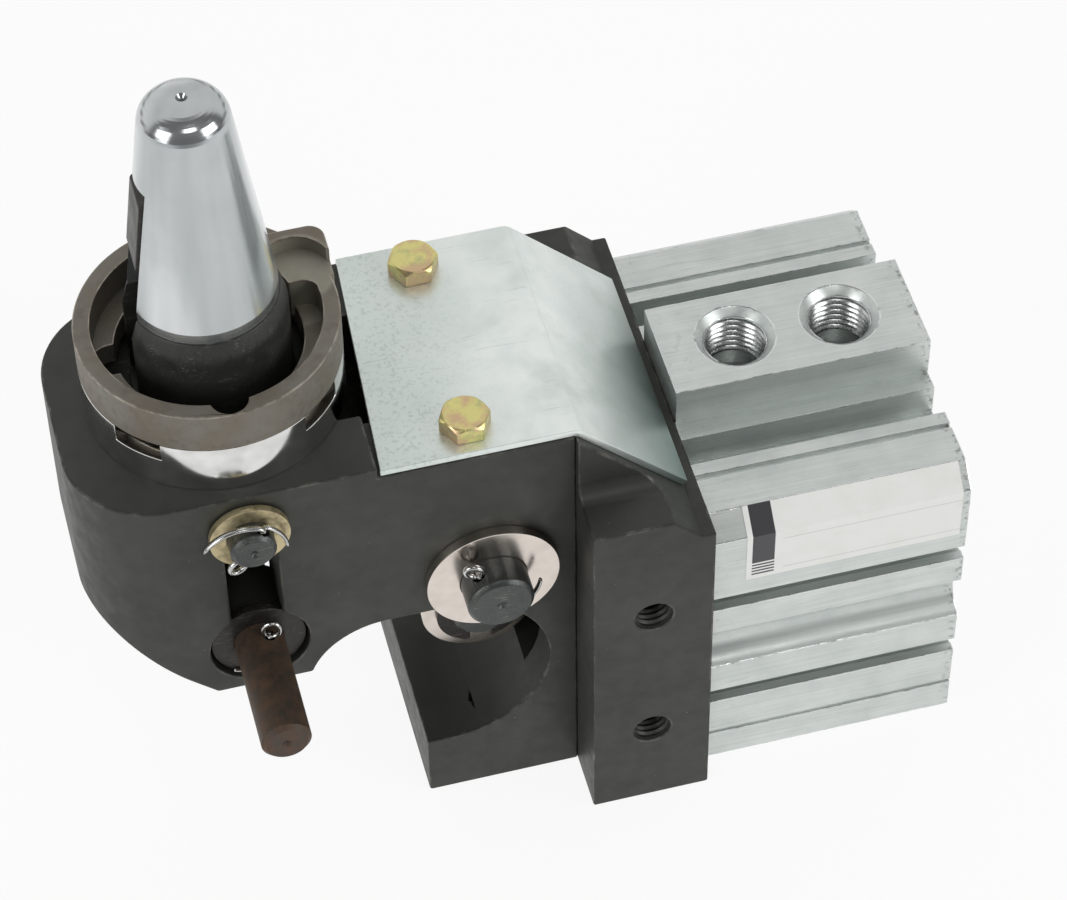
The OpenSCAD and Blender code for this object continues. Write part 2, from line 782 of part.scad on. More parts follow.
module hook() {
    color(dark_steel) translate([px, 0, hook_pivot_z]) difference() {
        union() {
            along_y(hook_t) hook_outline();
            bar_y(hook_eye_r, -hook_t / 2, hook_t / 2);
        }
        cam_slot();
        bar_y(hook_pivot_d / 2 + run_fit, -hook_t, hook_t);
    }
}

module hook_pivot_pin() {
    color(bright_steel) bar_y(hook_pivot_d / 2, -6.8, 6.8, px, hook_pivot_z);
}

// Hook rod: round top with a fork for the hook, flat tongue with the cross pin and a fork below
module hook_rod() {
    flat_top = head_z - 1.2;
    fork_top = guide_z + guide_d / 2 + hook_travel + open_gap;
    color(dark_steel) difference() {
        union() {
            translate([px, 0, flat_top - eps]) cylinder(h = hook_pivot_z + 3.8 - flat_top, d = hook_rod_d);
            span([px - rod_flat_w / 2, -tongue_w / 2, head_bottom + hook_travel],
                [px + rod_flat_w / 2, tongue_w / 2, flat_top]);
        }
        both_sides()
            span([px - 12, tongue_w / 2, flat_top - over], [px + 12, hook_rod_d, flat_top + 4.5]);
        span([px - 12, -hook_t / 2 - 0.1, hook_pivot_z - hook_eye_r - 0.4],
            [px + 12, hook_t / 2 + 0.1, hook_pivot_z + hook_eye_r]);
        span([px - guide_d / 2 - 0.3, -tongue_w, head_bottom], [px + guide_d / 2 + 0.3, tongue_w, fork_top]);
        bar_y(cross_d / 2 + pin_fit, -tongue_w, tongue_w, px, cross_z);
        bar_y(hook_pivot_d / 2 + pin_fit, -hook_rod_d, hook_rod_d, px, hook_pivot_z);
    }
}

// Pins in the head
cross_cotter_y = body_w / 2 + body_gap + cross_washer_t + 1.7;
guide_cotter_y = body_w / 2 + 1.4;
pivot_cotter_y = body_w / 2 + pivot_washer_t + 2.4;
cross_end = body_w / 2 + cross_out;
pivot_end = body_w / 2 + pivot_out;
guide_back = body_w / 2 + 4.5;
cross_turn = -59;
guide_turn = 110;
pivot_turn = 57;

module cross_hole(x, z, y, r, turn) {
    translate([x, y, z]) rotate([0, turn, 0]) bar_x(cotter_d / 2 + 0.05, -r - over, r + over);
}

module cross_pin() {
    color(black_steel) difference() {
        turned_pin(cross_d / 2, -cross_end, cross_end, px, cross_z);
        for (s = [-1, 1]) cross_hole(px, cross_z, s * cross_cotter_y, cross_d / 2, cross_turn);
    }
}

module cross_pin_washers() {
    color(yellow_zinc) both_sides()
        washer_y(cross_d / 2 + pin_fit, cross_washer_d / 2, body_w / 2 + body_gap,
            cross_washer_t, px, cross_z);
}

module cross_pin_cotters() {
    color(bright_steel) cotter_pair(px, cross_z, cross_d / 2, -cross_cotter_y, cross_cotter_y, cross_turn);
}

module guide_pin() {
    color(brown_steel) difference() {
        turned_pin(guide_d / 2, -body_w / 2 - guide_out, guide_back, px, guide_z);
        for (s = [-1, 1]) cross_hole(px, guide_z, s * guide_cotter_y, guide_d / 2, guide_turn);
    }
}

module guide_pin_washers() {
    color(dark_steel) both_sides()
        washer_y(guide_d / 2 + pin_fit, recess_r - 0.4, body_w / 2 - recess_depth, 1.8, px, guide_z);
}

module guide_pin_cotters() {
    color(bright_steel) cotter_pair(px, guide_z, guide_d / 2, -guide_cotter_y, guide_cotter_y, guide_turn);
}

// Bell-crank lever, its bush and its pivot
module lever() {
    a = [cos(arm_angle), sin(arm_angle)];
    end = hook_arm - 0.9;
    slot_r = cross_d / 2 + open_gap;
    cut_w = lever_w + 2;
    color(dark_steel) translate([vx, 0, pivot_z]) difference() {
        union() {
            link([0, 0], hub_r, end * a, upper_end_r, lever_w);
            link([0, 0], hub_r - 0.5, [0, -low_arm - low_slot], lower_end_r, lever_w);
        }
        link(hook_arm_min * a, slot_r, hook_arm * a, slot_r - eps, cut_w);
        link([0, -low_arm], rod_pin_d / 2 + 0.15, [0, -low_arm - low_slot], rod_pin_d / 2 + 0.14, cut_w);
        bar_y(pivot_d / 2 + bush_wall, -lever_w, lever_w);
        span([-2 * hub_r, -tongue_w / 2 - side_gap, -low_arm - 2 * lower_end_r],
            [2 * hub_r, tongue_w / 2 + side_gap, -hub_r - 0.9]);
        span([-hook_arm - 2 * upper_end_r, -tongue_w / 2 - side_gap, -1.5 * hub_r],
            [-hook_dx + rod_flat_w / 2 + 7, tongue_w / 2 + side_gap, hook_dz + 4 * upper_end_r]);
    }
}

module lever_bush() {
    color(bronze) difference() {
        bar_y(pivot_d / 2 + bush_wall - eps, -lever_w / 2, lever_w / 2, vx, pivot_z);
        bar_y(pivot_d / 2 + run_fit, -lever_w, lever_w, vx, pivot_z);
    }
}

module pivot_pin() {
    color(dark_steel) difference() {
        turned_pin(pivot_d / 2, -pivot_end, pivot_end, vx, pivot_z);
        for (s = [-1, 1]) cross_hole(vx, pivot_z, s * pivot_cotter_y, pivot_d / 2, pivot_turn);
    }
}

module pivot_washers() {
    color(bright_steel) both_sides()
        washer_y(pivot_d / 2 + pin_fit, pivot_washer_d / 2, body_w / 2, pivot_washer_t, vx, pivot_z);
}

module pivot_cotters() {
    color(bright_steel) cotter_pair(vx, pivot_z, pivot_d / 2, -pivot_cotter_y, pivot_cotter_y, pivot_turn);
}

// Rod end, its pin and the parts on that pin
rod_tip = flange_face + 6;
stud_r = 5;
stud_len = 7;
shank_h = 16;
neck_r = 10;
neck_len = 10;
spring_pin_r = 1.5;
spring_pin_in = 4;
rod_pin_out = 4.4;
rod_washer_t = 1.5;
clip_w = 3;
clip_t = 1;

module spring_pin_hole() {
    translate([rod_tip - spring_pin_in, 0, rod_z - 2 * neck_r]) cylinder(h = 4 * neck_r, r = spring_pin_r);
}

module rod_end() {
    color(dark_steel) difference() {
        union() {
            bar_y(rod_eye_r, -tongue_w / 2, tongue_w / 2, vx, rod_z);
            span([vx, -tongue_w / 2, rod_z - shank_h / 2],
                [rod_tip - neck_len + over, tongue_w / 2, rod_z + shank_h / 2]);
            bar_x(neck_r, rod_tip - neck_len, rod_tip, 0, rod_z);
        }
        bar_y(rod_pin_d / 2 + pin_fit, -tongue_w, tongue_w, vx, rod_z);
        bar_x(stud_r, rod_tip - stud_len - 0.5, rod_tip + over, 0, rod_z);
        spring_pin_hole();
    }
}

module rod_end_pin() {
    half = neck_r - body_gap;
    color(bright_steel) translate([rod_tip - spring_pin_in, 0, rod_z - half])
        cylinder(h = 2 * half, r = spring_pin_r - pin_fit);
}

module rod_pin() {
    end = lever_w / 2 + rod_pin_out;
    color(bright_steel) turned_pin(rod_pin_d / 2, -end, end, vx, rod_z);
}

module rod_pin_washers() {
    color(bright_steel) both_sides()
        washer_y(rod_pin_d / 2 + pin_fit, rod_washer_d / 2, lever_w / 2 + side_gap, rod_washer_t, vx, rod_z);
}

module rod_pin_clips() {
    y0 = lever_w / 2 + side_gap + rod_washer_t;
    color(dark_steel) both_sides() difference() {
        washer_y(rod_pin_d / 2 + pin_fit, rod_pin_d / 2 + clip_w, y0, clip_t, vx, rod_z);
        span([vx - 2, y0 - over, rod_z - rod_pin_d], [vx + 2, y0 + clip_t + over, rod_z]);
    }
}

// Piston and rod
front_face = barrel_x0 + front_cover_t;
rear_stop = barrel_x1 - 1 - 1.5 - end_cover_t - 1.5;
piston_x1 = rear_stop - 0.4 - stroke;
piston_x0 = piston_x1 - piston_t;
bore_r = barrel_bore / 2;
nut_af = 16;
nut_t = 5;
nut_recess_r = 9.6;
seal_depth = 3.5;
seal_w = 3;
seal_x = piston_x0 + 2;
wear_depth = 2;
wear_w = 3;
wear_x = seal_x + seal_w + 2;
groove_gap = 0.1;

module piston_rod() {
    color(bright_steel) difference() {
        union() {
            bar_x(rod_d / 2, rod_tip, piston_x0, 0, rod_z);
            bar_x(stud_r - pin_fit, rod_tip - stud_len, rod_tip + eps, 0, rod_z);
            bar_x(stud_r - pin_fit, piston_x0 - eps, piston_x1, 0, rod_z);
        }
        spring_pin_hole();
    }
}

module piston() {
    color(anodised) difference() {
        bar_x(bore_r - 0.2, piston_x0, piston_x1, 0, rod_z);
        bar_x(stud_r, piston_x0 - over, piston_x1 + over, 0, rod_z);
        bar_x(nut_recess_r, piston_x1 - nut_t, piston_x1 + over, 0, rod_z);
        ring_x(bore_r - seal_depth, bore_r + over, seal_x, seal_x + seal_w);
        ring_x(bore_r - wear_depth, bore_r + over, wear_x, wear_x + wear_w);
    }
}

module piston_nut() {
    color(bright_steel) difference() {
        translate([piston_x1 - nut_t, 0, rod_z]) rotate([0, 90, 0])
            cylinder(h = nut_t, r = nut_af / 2 / cos(30), $fn = 6);
        bar_x(stud_r, piston_x1 - nut_t - over, piston_x1 + over, 0, rod_z);
    }
}

module piston_seal() {
    color(rubber_black) ring_x(bore_r - seal_depth + 0.05, bore_r - run_fit,
        seal_x + groove_gap, seal_x + seal_w - groove_gap);
}

module wear_ring() {
    color(bronze) ring_x(bore_r - wear_depth + 0.05, bore_r - run_fit,
        wear_x + groove_gap, wear_x + wear_w - groove_gap);
}

// Extruded barrel
channel_w = 10.1;
channel_depth = 3.5;
channel_r = (channel_w * channel_w / 4 + channel_depth * channel_depth) / 2 / channel_depth;
top_slot_y = 16.9;
top_slot_w = 5.7;
top_slot_depth = 6.5;
ring_groove_r = bore_r + 1.4;

module side_grooves() {
    s = barrel_s / 2;
    translate([-s - channel_r + channel_depth, rod_z + 0.9]) circle(r = channel_r);
    for (z = [rod_z + 14, rod_z - 13]) {
        translate([-s - over, z - 1.6]) square([over + 4.4, 3.2]);
        translate([-s + 3.4, z]) circle(r = 2.3);
    }
    translate([-s - over, rod_z - 24.4]) square([over + 0.5, 0.8]);
}

module barrel_outline() {
    s = barrel_s / 2;
    c = barrel_chamfer;
    difference() {
        union() {
            polygon([
                [-s, rod_z - s + c], [-s + c, rod_z - s], [s - c, rod_z - s], [s, rod_z - s + c],
                [s, rod_z + s - c], [s - c, rod_z + s], [-s + c, rod_z + s], [-s, rod_z + s - c]
            ]);
            translate([-rib_w / 2, rod_z]) square([rib_w, s + rib_h]);
        }
        translate([0, rod_z]) circle(r = bore_r);
        side_grooves();
        mirror([1, 0]) side_grooves();
        for (m = [-1, 1]) {
            translate([m * top_slot_y - top_slot_w / 2, barrel_top - top_slot_depth])
                square([top_slot_w, top_slot_depth + over]);
            translate([m * 23 - 0.5, barrel_top - 0.7]) square([1, 2]);
        }
    }
}

module port(x) {
    translate([x, 0, 0]) {
        translate([0, 0, rib_top - port_depth]) cylinder(h = port_depth + over, d = port_d);
        translate([0, 0, rib_top - 1.5]) cylinder(h = 1.5 + eps, d1 = port_d, d2 = port_rim_d);
        translate([0, 0, rod_z + bore_r - 2]) cylinder(h = rib_top - rod_z - bore_r - port_depth + 3, r = 2.5);
    }
}

module barrel() {
    color(anodised) difference() {
        along_x(barrel_x0, barrel_len) barrel_outline();
        for (i = [0, 1]) port(barrel_x0 + port_x + i * port_pitch);
        bar_x(ring_groove_r, barrel_x1 - 2.6, barrel_x1 - 0.95, 0, rod_z);
        for (y = [-1, 1], z = [-1, 1]) {
            bar_x(3.3, barrel_x0 - over, barrel_x1 + over, y * screw_pitch / 2, rod_z + z * screw_pitch / 2);
            bar_x(5.2, barrel_x1 - 6.5, barrel_x1 + over, y * screw_pitch / 2, rod_z + z * screw_pitch / 2);
        }
    }
}

module barrel_screws() {
    color(dark_steel)
        for (y = [-1, 1], z = [-1, 1])
            socket_screw(6, barrel_x0 - 13, barrel_x1 - 6.5, y * screw_pitch / 2, rod_z + z * screw_pitch / 2);
}

// Covers, seals and bumpers of the cylinder
spigot_x = barrel_x0 - 5;
bush_len = 8.5;
rod_bush_wall = 2;
rod_seal_wall = 3.5;
rod_seal_x = barrel_x0 + 4.5;
rod_seal_w = 4;
bumper_w = 4;
bumper_in = 4.4;

module front_cover() {
    color(anodised) difference() {
        union() {
            bar_x(bore_r - 0.05, barrel_x0, front_face, 0, rod_z);
            bar_x(spigot_r - 0.05, spigot_x, barrel_x0 + eps, 0, rod_z);
        }
        bar_x(rod_d / 2 + 0.1, spigot_x - over, front_face + over, 0, rod_z);
        bar_x(rod_d / 2 + rod_bush_wall, spigot_x - over, spigot_x + bush_len, 0, rod_z);
        bar_x(rod_d / 2 + rod_seal_wall, rod_seal_x, rod_seal_x + rod_seal_w, 0, rod_z);
        ring_x(bore_r - 2.5, bore_r + over, barrel_x0 + 3.6, barrel_x0 + 6.4);
    }
}

module rod_bush() {
    outer = rod_d / 2 + rod_bush_wall - pin_fit;
    color(bronze) ring_x(rod_d / 2 + run_fit, outer, spigot_x, spigot_x + bush_len);
}

module rod_seal() {
    color(rubber_black) ring_x(rod_d / 2 + run_fit, rod_d / 2 + rod_seal_wall - 0.05,
        rod_seal_x + groove_gap, rod_seal_x + rod_seal_w - groove_gap);
}

cover_x1 = barrel_x1 - 2.5;
module end_cover() {
    color(anodised) difference() {
        bar_x(bore_r - 0.05, cover_x1 - end_cover_t, cover_x1, 0, rod_z);
        ring_x(bore_r - 2.5, bore_r + over, cover_x1 - end_cover_t + 1.4, cover_x1 - end_cover_t + 4.2);
        bar_x(2, cover_x1 - 3, cover_x1 + over, 0, rod_z);
    }
}

module retaining_ring() {
    color(dark_steel) difference() {
        ring_x(bore_r - 2.6, ring_groove_r - 0.1, cover_x1, cover_x1 + 1.4);
        span([cover_x1 - over, -6, rod_z - 40], [cover_x1 + 3, 6, rod_z]);
    }
}

module cover_seals() {
    for (x = [barrel_x0 + 5, cover_x1 - end_cover_t + 2.8])
        color(rubber_black) translate([x, 0, rod_z]) rotate([0, 90, 0])
            rotate_extrude() translate([bore_r - 1.3, 0]) circle(r = 1.18);
}

module bumpers() {
    color(rubber_black) {
        ring_x(rod_d / 2 + 1, rod_d / 2 + 5.5, front_face, piston_x0 - body_gap);
        ring_x(nut_recess_r + bumper_in, nut_recess_r + bumper_in + bumper_w, rear_stop, rear_stop + 1.5);
    }
}

// Blank label on the front face, wrapped over the barrel's edge
module label() {
    s = barrel_s / 2;
    c = barrel_chamfer;
    t = 0.15;
    color([0.93, 0.93, 0.93]) along_x(barrel_x0 + 6, label_len) polygon([
        [-s, label_low], [-s, barrel_top - c], [-s + c, barrel_top],
        [-s + c - t * 0.7, barrel_top + t * 0.7], [-s - t, barrel_top - c + t * 0.4], [-s - t, label_low]
    ]);
}

flange_block();
body_block();
body_screws();
cover_plate();
cover_bolts();
collar_ring();
seat_ring();
pin_base();
base_screws();
locating_pin();
hook_cam_pin();
hook();
hook_pivot_pin();
hook_rod();
cross_pin();
cross_pin_washers();
cross_pin_cotters();
guide_pin();
guide_pin_washers();
guide_pin_cotters();
lever();
lever_bush();
pivot_pin();
pivot_washers();
pivot_cotters();
rod_end();
rod_end_pin();
rod_pin();
rod_pin_washers();
rod_pin_clips();
piston_rod();
piston();
piston_nut();
piston_seal();
wear_ring();
barrel();
barrel_screws();
front_cover();
rod_bush();
rod_seal();
end_cover();
retaining_ring();
cover_seals();
bumpers();
label();
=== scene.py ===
"""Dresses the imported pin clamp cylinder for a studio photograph.

The CAD frame gives every shape and place. This script rounds the machined edges, adds the threads,
the split pins and the folded sheet that the photograph shows, gives each piece its finish, and sets
up the floor, the lamps and the camera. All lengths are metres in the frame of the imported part.
"""

import json
import logging
import math
from dataclasses import dataclass, field
from enum import Enum
from typing import Any, Sequence

import bmesh
import bpy
from mathutils import Matrix, Vector

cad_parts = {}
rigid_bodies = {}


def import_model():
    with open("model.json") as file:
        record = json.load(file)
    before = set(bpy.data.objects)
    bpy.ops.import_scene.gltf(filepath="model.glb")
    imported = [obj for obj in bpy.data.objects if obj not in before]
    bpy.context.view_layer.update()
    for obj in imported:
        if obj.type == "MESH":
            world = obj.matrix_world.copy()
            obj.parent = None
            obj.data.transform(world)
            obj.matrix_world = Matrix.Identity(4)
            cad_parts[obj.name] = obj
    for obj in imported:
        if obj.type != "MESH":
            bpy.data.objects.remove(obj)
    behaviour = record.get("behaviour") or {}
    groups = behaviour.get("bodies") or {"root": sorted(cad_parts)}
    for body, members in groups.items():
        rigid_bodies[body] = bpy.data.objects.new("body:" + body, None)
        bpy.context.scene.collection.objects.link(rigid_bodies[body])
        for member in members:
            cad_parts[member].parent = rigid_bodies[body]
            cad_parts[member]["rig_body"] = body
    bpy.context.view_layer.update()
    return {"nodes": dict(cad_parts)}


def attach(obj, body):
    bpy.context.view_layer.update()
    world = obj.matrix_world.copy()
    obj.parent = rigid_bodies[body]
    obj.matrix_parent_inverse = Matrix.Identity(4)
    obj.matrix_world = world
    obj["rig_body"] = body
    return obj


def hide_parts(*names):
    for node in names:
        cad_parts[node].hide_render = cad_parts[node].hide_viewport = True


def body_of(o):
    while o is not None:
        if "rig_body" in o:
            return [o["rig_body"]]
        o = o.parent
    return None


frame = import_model()

LOG = logging.getLogger("scene")

Point = tuple[float, float, float]
Pair = tuple[float, float]
Colour = tuple[float, float, float, float]


def mm(value: float) -> float:
    """Returns a length in millimetres as metres."""
    return value * 0.001


def linear(hex_colour: str) -> Colour:
    """Turns an sRGB hex colour into the linear colour that a shader takes.

    Args:
        hex_colour: six hex digits after a hash, such as "#444540".

    Returns:
        Red, green, blue and alpha, linear, with alpha 1.
    """
    channels = [int(hex_colour[i : i + 2], 16) / 255 for i in (1, 3, 5)]
    red, green, blue = (
        c / 12.92 if c <= 0.04045 else ((c + 0.055) / 1.055) ** 2.4 for c in channels
    )
    return (red, green, blue, 1.0)


class Axis(Enum):
    """Direction along which a surface was drawn, turned or ground."""

    X = (0.02, 1.0, 1.0)
    Y = (1.0, 0.02, 1.0)
    Z = (1.0, 1.0, 0.02)
    NONE = (1.0, 1.0, 1.0)


class Node(Enum):
    """The shader nodes that the finishes and the studio are made from."""

    BACKGROUND = "ShaderNodeBackground"
    BUMP = "ShaderNodeBump"
    CELLS = "ShaderNodeTexVoronoi"
    DIFFUSE = "ShaderNodeBsdfDiffuse"
    GLOW = "ShaderNodeEmission"
    MATERIAL = "ShaderNodeOutputMaterial"
    MATH = "ShaderNodeMath"
    MIX = "ShaderNodeMix"
    MIX_SHADER = "ShaderNodeMixShader"
    NOISE = "ShaderNodeTexNoise"
    PLACE = "ShaderNodeTexCoord"
    PRINCIPLED = "ShaderNodeBsdfPrincipled"
    RANGE = "ShaderNodeMapRange"
    RAYS = "ShaderNodeLightPath"
    SPLIT = "ShaderNodeSeparateXYZ"
    TURN = "ShaderNodeMapping"
    VECTOR = "ShaderNodeVectorMath"
    WORLD = "ShaderNodeOutputWorld"


class NodeTree:
    """The node tree of a material or of the room, empty at first."""

    def __init__(self, owner: Any) -> None:
        """Empties the tree.

        Args:
            owner: the material or the world that has it.
        """
        owner.use_nodes = True
        self.tree = owner.node_tree
        self.tree.nodes.clear()

    def add(self, kind: Node, values: Any = (), output: str = "", **settings: Any) -> Any:
        """Adds one node with its settings and links.

        Args:
            kind: the node's kind.
            values: what its inputs get, as a dict by name or as a tuple in the order of those in
                use; a socket is linked, and a hex colour is turned linear.
            output: name of the output that is wanted, or nothing for the first one in use.
            settings: attributes of the node itself.

        Returns:
            The socket of that output, or None from a node that has none.
        """
        node = self.tree.nodes.new(kind.value)
        for name, value in settings.items():
            setattr(node, name, value)
        if isinstance(values, tuple):
            in_use = [number for number, socket in enumerate(node.inputs) if socket.enabled]
            values = dict(zip(in_use, values))
        for key, value in values.items():
            if isinstance(value, bpy.types.NodeSocket):
                self.tree.links.new(value, node.inputs[key])
            else:
                node.inputs[key].default_value = linear(value) if isinstance(value, str) else value
        if output:
            return node.outputs[output]
        return next((socket for socket in node.outputs if socket.enabled), None)


class Canvas(NodeTree):
    """A new material with the few patterns that every finish here is made from."""

    def __init__(self, name: str) -> None:
        """Starts a material that has only its place on the object.

        Args:
            name: the material's name in plain words.
        """
        self.material = bpy.data.materials.new(name)
        super().__init__(self.material)
        self.place = self.add(Node.PLACE, output="Object")

    def where(self) -> tuple[Any, Any, Any]:
        """Returns how far along X, Y and Z a point of the surface lies."""
        x, y, z = (self.add(Node.SPLIT, (self.place,), axis) for axis in "XYZ")
        return x, y, z

    def clouds(
        self, size_mm: float, detail: float = 4.0, axis: Axis = Axis.NONE, rough: float = 0.6
    ) -> Any:
        """Returns a cloudy pattern.

        Args:
            size_mm: size of one cloud on the real surface.
            detail: octaves of finer clouds.
            axis: direction along which the clouds are drawn out.
            rough: share of the finer octaves.

        Returns:
            The pattern, about 0.5 on average.
        """
        place = self.add(Node.VECTOR, (self.place, axis.value), operation="MULTIPLY")
        scale = 1.0 / mm(size_mm)
        return self.add(
            Node.NOISE, {"Vector": place, "Scale": scale, "Detail": detail, "Roughness": rough}
        )

    def within(self, mask: Any, pattern: Any, low: float, high: float) -> Any:
        """Returns a mask kept only where a pattern has risen from low to high."""
        kept = self.add(Node.RANGE, (pattern, low, high))
        return self.add(Node.MATH, (mask, kept), operation="MULTIPLY")

    def mottle(
        self, base: Any, colour: str, pattern: Any, low: float, high: float, share: float = 1.0
    ) -> Any:
        """Returns a colour that turns into another one with a pattern.

        Args:
            base: the colour where the pattern is low.
            colour: the colour where it is high.
            pattern: the pattern.
            low: where the change starts.
            high: where it is complete.
            share: how far it goes, up to 1.

        Returns:
            The new colour.
        """
        mask = self.add(Node.RANGE, (pattern, low, high, 0.0, share))
        return self.add(Node.MIX, (mask, base, colour), data_type="RGBA")

    def lay(self, base: Any, colour: str, mask: Any, share: float) -> Any:
        """Returns a colour with a share of another one laid over it where a mask says so."""
        thin = self.add(Node.MATH, (mask, share), operation="MULTIPLY")
        return self.add(Node.MIX, (thin, base, colour), data_type="RGBA")

    def specks(self, size_mm: float, share: float) -> Any:
        """Returns a mask of small round marks.

        Args:
            size_mm: spacing of the marks.
            share: radius of a mark as a share of the spacing.

        Returns:
            The mask, 1 on a mark.
        """
        away = self.add(Node.CELLS, {"Vector": self.place, "Scale": 1.0 / mm(size_mm)}, "Distance")
        return self.add(Node.RANGE, (away, share * 0.6, share, 1.0, 0.0))

    def scratches(self, length_mm: float, turn: float, share: float) -> Any:
        """Returns a mask of thin straight scratches.

        Args:
            length_mm: rough length of one scratch.
            turn: direction on the surface, in radians about Z.
            share: how much of the surface they may cover, from 0 to 1.

        Returns:
            The mask, 1 on a scratch.
        """
        tilt = (0.3, 0.2, turn)
        thinness = 20.0
        place = {"Vector": self.place, "Rotation": tilt, "Scale": (0.05, 1.0, 1.0)}
        lines = {
            "Vector": self.add(Node.TURN, place),
            "Scale": thinness / mm(length_mm),
            "Detail": 1.0,
            "Distortion": 0.2,
        }
        low, high = (level - 0.1 * share for level in (0.68, 0.71))
        thin = self.add(Node.RANGE, (self.add(Node.NOISE, lines), low, high))
        return self.within(thin, self.clouds(length_mm), 0.45, 0.6)

    def finish(
        self, colour: Any, metallic: float, roughness: Any, *reliefs: tuple[Any, float, float]
    ) -> bpy.types.Material:
        """Closes the material with a principled shader.

        Args:
            colour: the base colour or its pattern.
            metallic: 1 for bare metal, less for a metal under a film.
            roughness: a number or a pattern.
            reliefs: the pattern, the real depth in mm and the strength of each relief, laid one
                on another.

        Returns:
            The finished material.
        """
        values = {"Base Color": colour, "Metallic": metallic, "Roughness": roughness}
        for height, depth_mm, strength in reliefs:
            relief = {"Height": height, "Distance": mm(depth_mm), "Strength": strength}
            if "Normal" in values:
                relief["Normal"] = values["Normal"]
            values["Normal"] = self.add(Node.BUMP, relief)
        self.add(Node.MATERIAL, (self.add(Node.PRINCIPLED, values),))
        return self.material


@dataclass(frozen=True)
class BlackOxideSteel:
    """Milled carbon steel with a hot black oxide coat, slightly oily and scuffed."""

    name: str = "black oxide steel"
    coat: str = "#363733"
    faded: str = "#3f403b"
    rust: str = "#45423b"
    bare: str = "#9a988f"

    def build(self) -> bpy.types.Material:
        """Builds the finish.

        Returns:
            A dark, warm grey half-gloss with faint milling lines and dust specks.
        """
        c = Canvas(self.name)
        base = c.mottle(self.coat, self.faded, c.clouds(14.0, 5.0), 0.35, 0.7)
        base = c.mottle(base, self.rust, c.clouds(6.0, 6.0), 0.62, 0.8, 0.5)
        dust = c.within(c.specks(3.2, 0.05), c.clouds(12.0, 2.0), 0.48, 0.6)
        base = c.lay(base, self.bare, dust, 0.55)
        # Grain of the etched coat is finer than a pixel, so it is drawn at a quarter millimetre
        grain = c.clouds(0.25, 2.0)
        milling = c.clouds(1.1, 2.0, Axis.X)
        gloss = c.add(Node.RANGE, (c.clouds(3.0, 4.0), 0.3, 0.7, 0.42, 0.58))
        return c.finish(base, 0.35, gloss, (grain, 0.02, 0.25), (milling, 0.01, 0.15))


@dataclass(frozen=True)
class RubbedEdge:
    """Outer edge of a part where handling, panels or a file have rubbed its coat thin."""

    name: str
    coat: str
    bare: str
    metallic: float
    roughness: Pair
    size_mm: float
    levels: Pair
    octaves: float = 6.0
    rough: float = 0.7

    def build(self) -> bpy.types.Material:
        """Builds the finish.

        Returns:
            A broken line of half-bare metal along the edges.
        """
        c = Canvas(self.name)
        clouds = c.clouds(self.size_mm, self.octaves, Axis.NONE, self.rough)
        worn = c.add(Node.RANGE, (clouds, *self.levels))
        base = c.add(Node.MIX, (worn, self.coat, self.bare), data_type="RGBA")
        gloss = c.add(Node.RANGE, (worn, 0.0, 1.0, *self.roughness))
        return c.finish(base, self.metallic, gloss)


WORN_BLACK = RubbedEdge(
    "worn edge of black oxide steel",
    "#3d3e3b",
    "#63615b",
    0.6,
    (0.5, 0.36),
    5.0,
    (0.47, 0.66),
    rough=0.75,
)
RUBBED_BROWN = RubbedEdge(
    "rubbed edge of browned steel", "#7a7166", "#a9a296", 0.7, (0.45, 0.33), 4.0, (0.4, 0.62)
)
FILED_ALUMINIUM = RubbedEdge(
    "filed edge of aluminium", "#dde0df", "#9fa3a2", 0.9, (0.25, 0.45), 2.0, (0.5, 0.64), 5.0
)


@dataclass(frozen=True)
class DarkSteel:
    """Turned or milled alloy steel with a thin phosphate or oxide film."""

    name: str
    film: str
    light: str
    metallic: float = 0.6
    roughness: float = 0.4
    lay: Axis = Axis.NONE
    line_mm: float = 0.5
    bare: str = "#a09d96"

    def build(self) -> bpy.types.Material:
        """Builds the finish.

        Returns:
            A dark metal with fine tool lines along its lay.
        """
        c = Canvas(self.name)
        lines = c.clouds(self.line_mm, 3.0, self.lay)
        clouds = c.clouds(4.0, 5.0)
        both = c.add(Node.MATH, (lines, clouds), operation="ADD")
        base = c.mottle(self.film, self.light, both, 0.7, 1.35)
        base = c.lay(base, self.bare, c.scratches(4.0, 0.9, 0.4), 0.4)
        low, high = self.roughness - 0.08, self.roughness + 0.1
        gloss = c.add(Node.RANGE, (clouds, 0.3, 0.7, low, high))
        return c.finish(base, self.metallic, gloss, (lines, 0.015, 0.3))


@dataclass(frozen=True)
class BrownedSteel:
    """Hardened steel that came brown out of the tempering oil, with its hollow ground bright."""

    name: str = "browned hardened steel"
    brown: str = "#756d61"
    grey: str = "#7c7971"
    dark: str = "#5a5349"
    bare: str = "#a39d92"
    ground: str = "#9a9789"
    hollow: Point = (-0.0517, 0.0054, 0.0)
    hollow_mm: Pair = (6.9, 6.1)

    def build(self) -> bpy.types.Material:
        """Builds the finish.

        Returns:
            A matt brown grey with a fine ground grain and darker clouds.
        """
        c = Canvas(self.name)
        base = c.mottle(self.brown, self.grey, c.clouds(7.0, 5.0), 0.35, 0.68)
        base = c.mottle(base, self.dark, c.clouds(3.0, 6.0), 0.55, 0.8, 0.6)
        base = c.lay(base, self.bare, c.scratches(4.0, 2.3, 0.1), 0.2)
        flat = c.add(Node.VECTOR, (c.place, (1.0, 1.0, 0.0)), operation="MULTIPLY")
        away = c.add(Node.VECTOR, (flat, self.hollow), operation="DISTANCE")
        base = c.mottle(base, self.ground, away, *(mm(r) for r in self.hollow_mm), 0.8)
        gloss = c.add(Node.RANGE, (c.clouds(1.5, 4.0), 0.3, 0.7, 0.42, 0.6))
        return c.finish(base, 0.45, gloss, (c.clouds(0.35, 3.0), 0.03, 0.35))


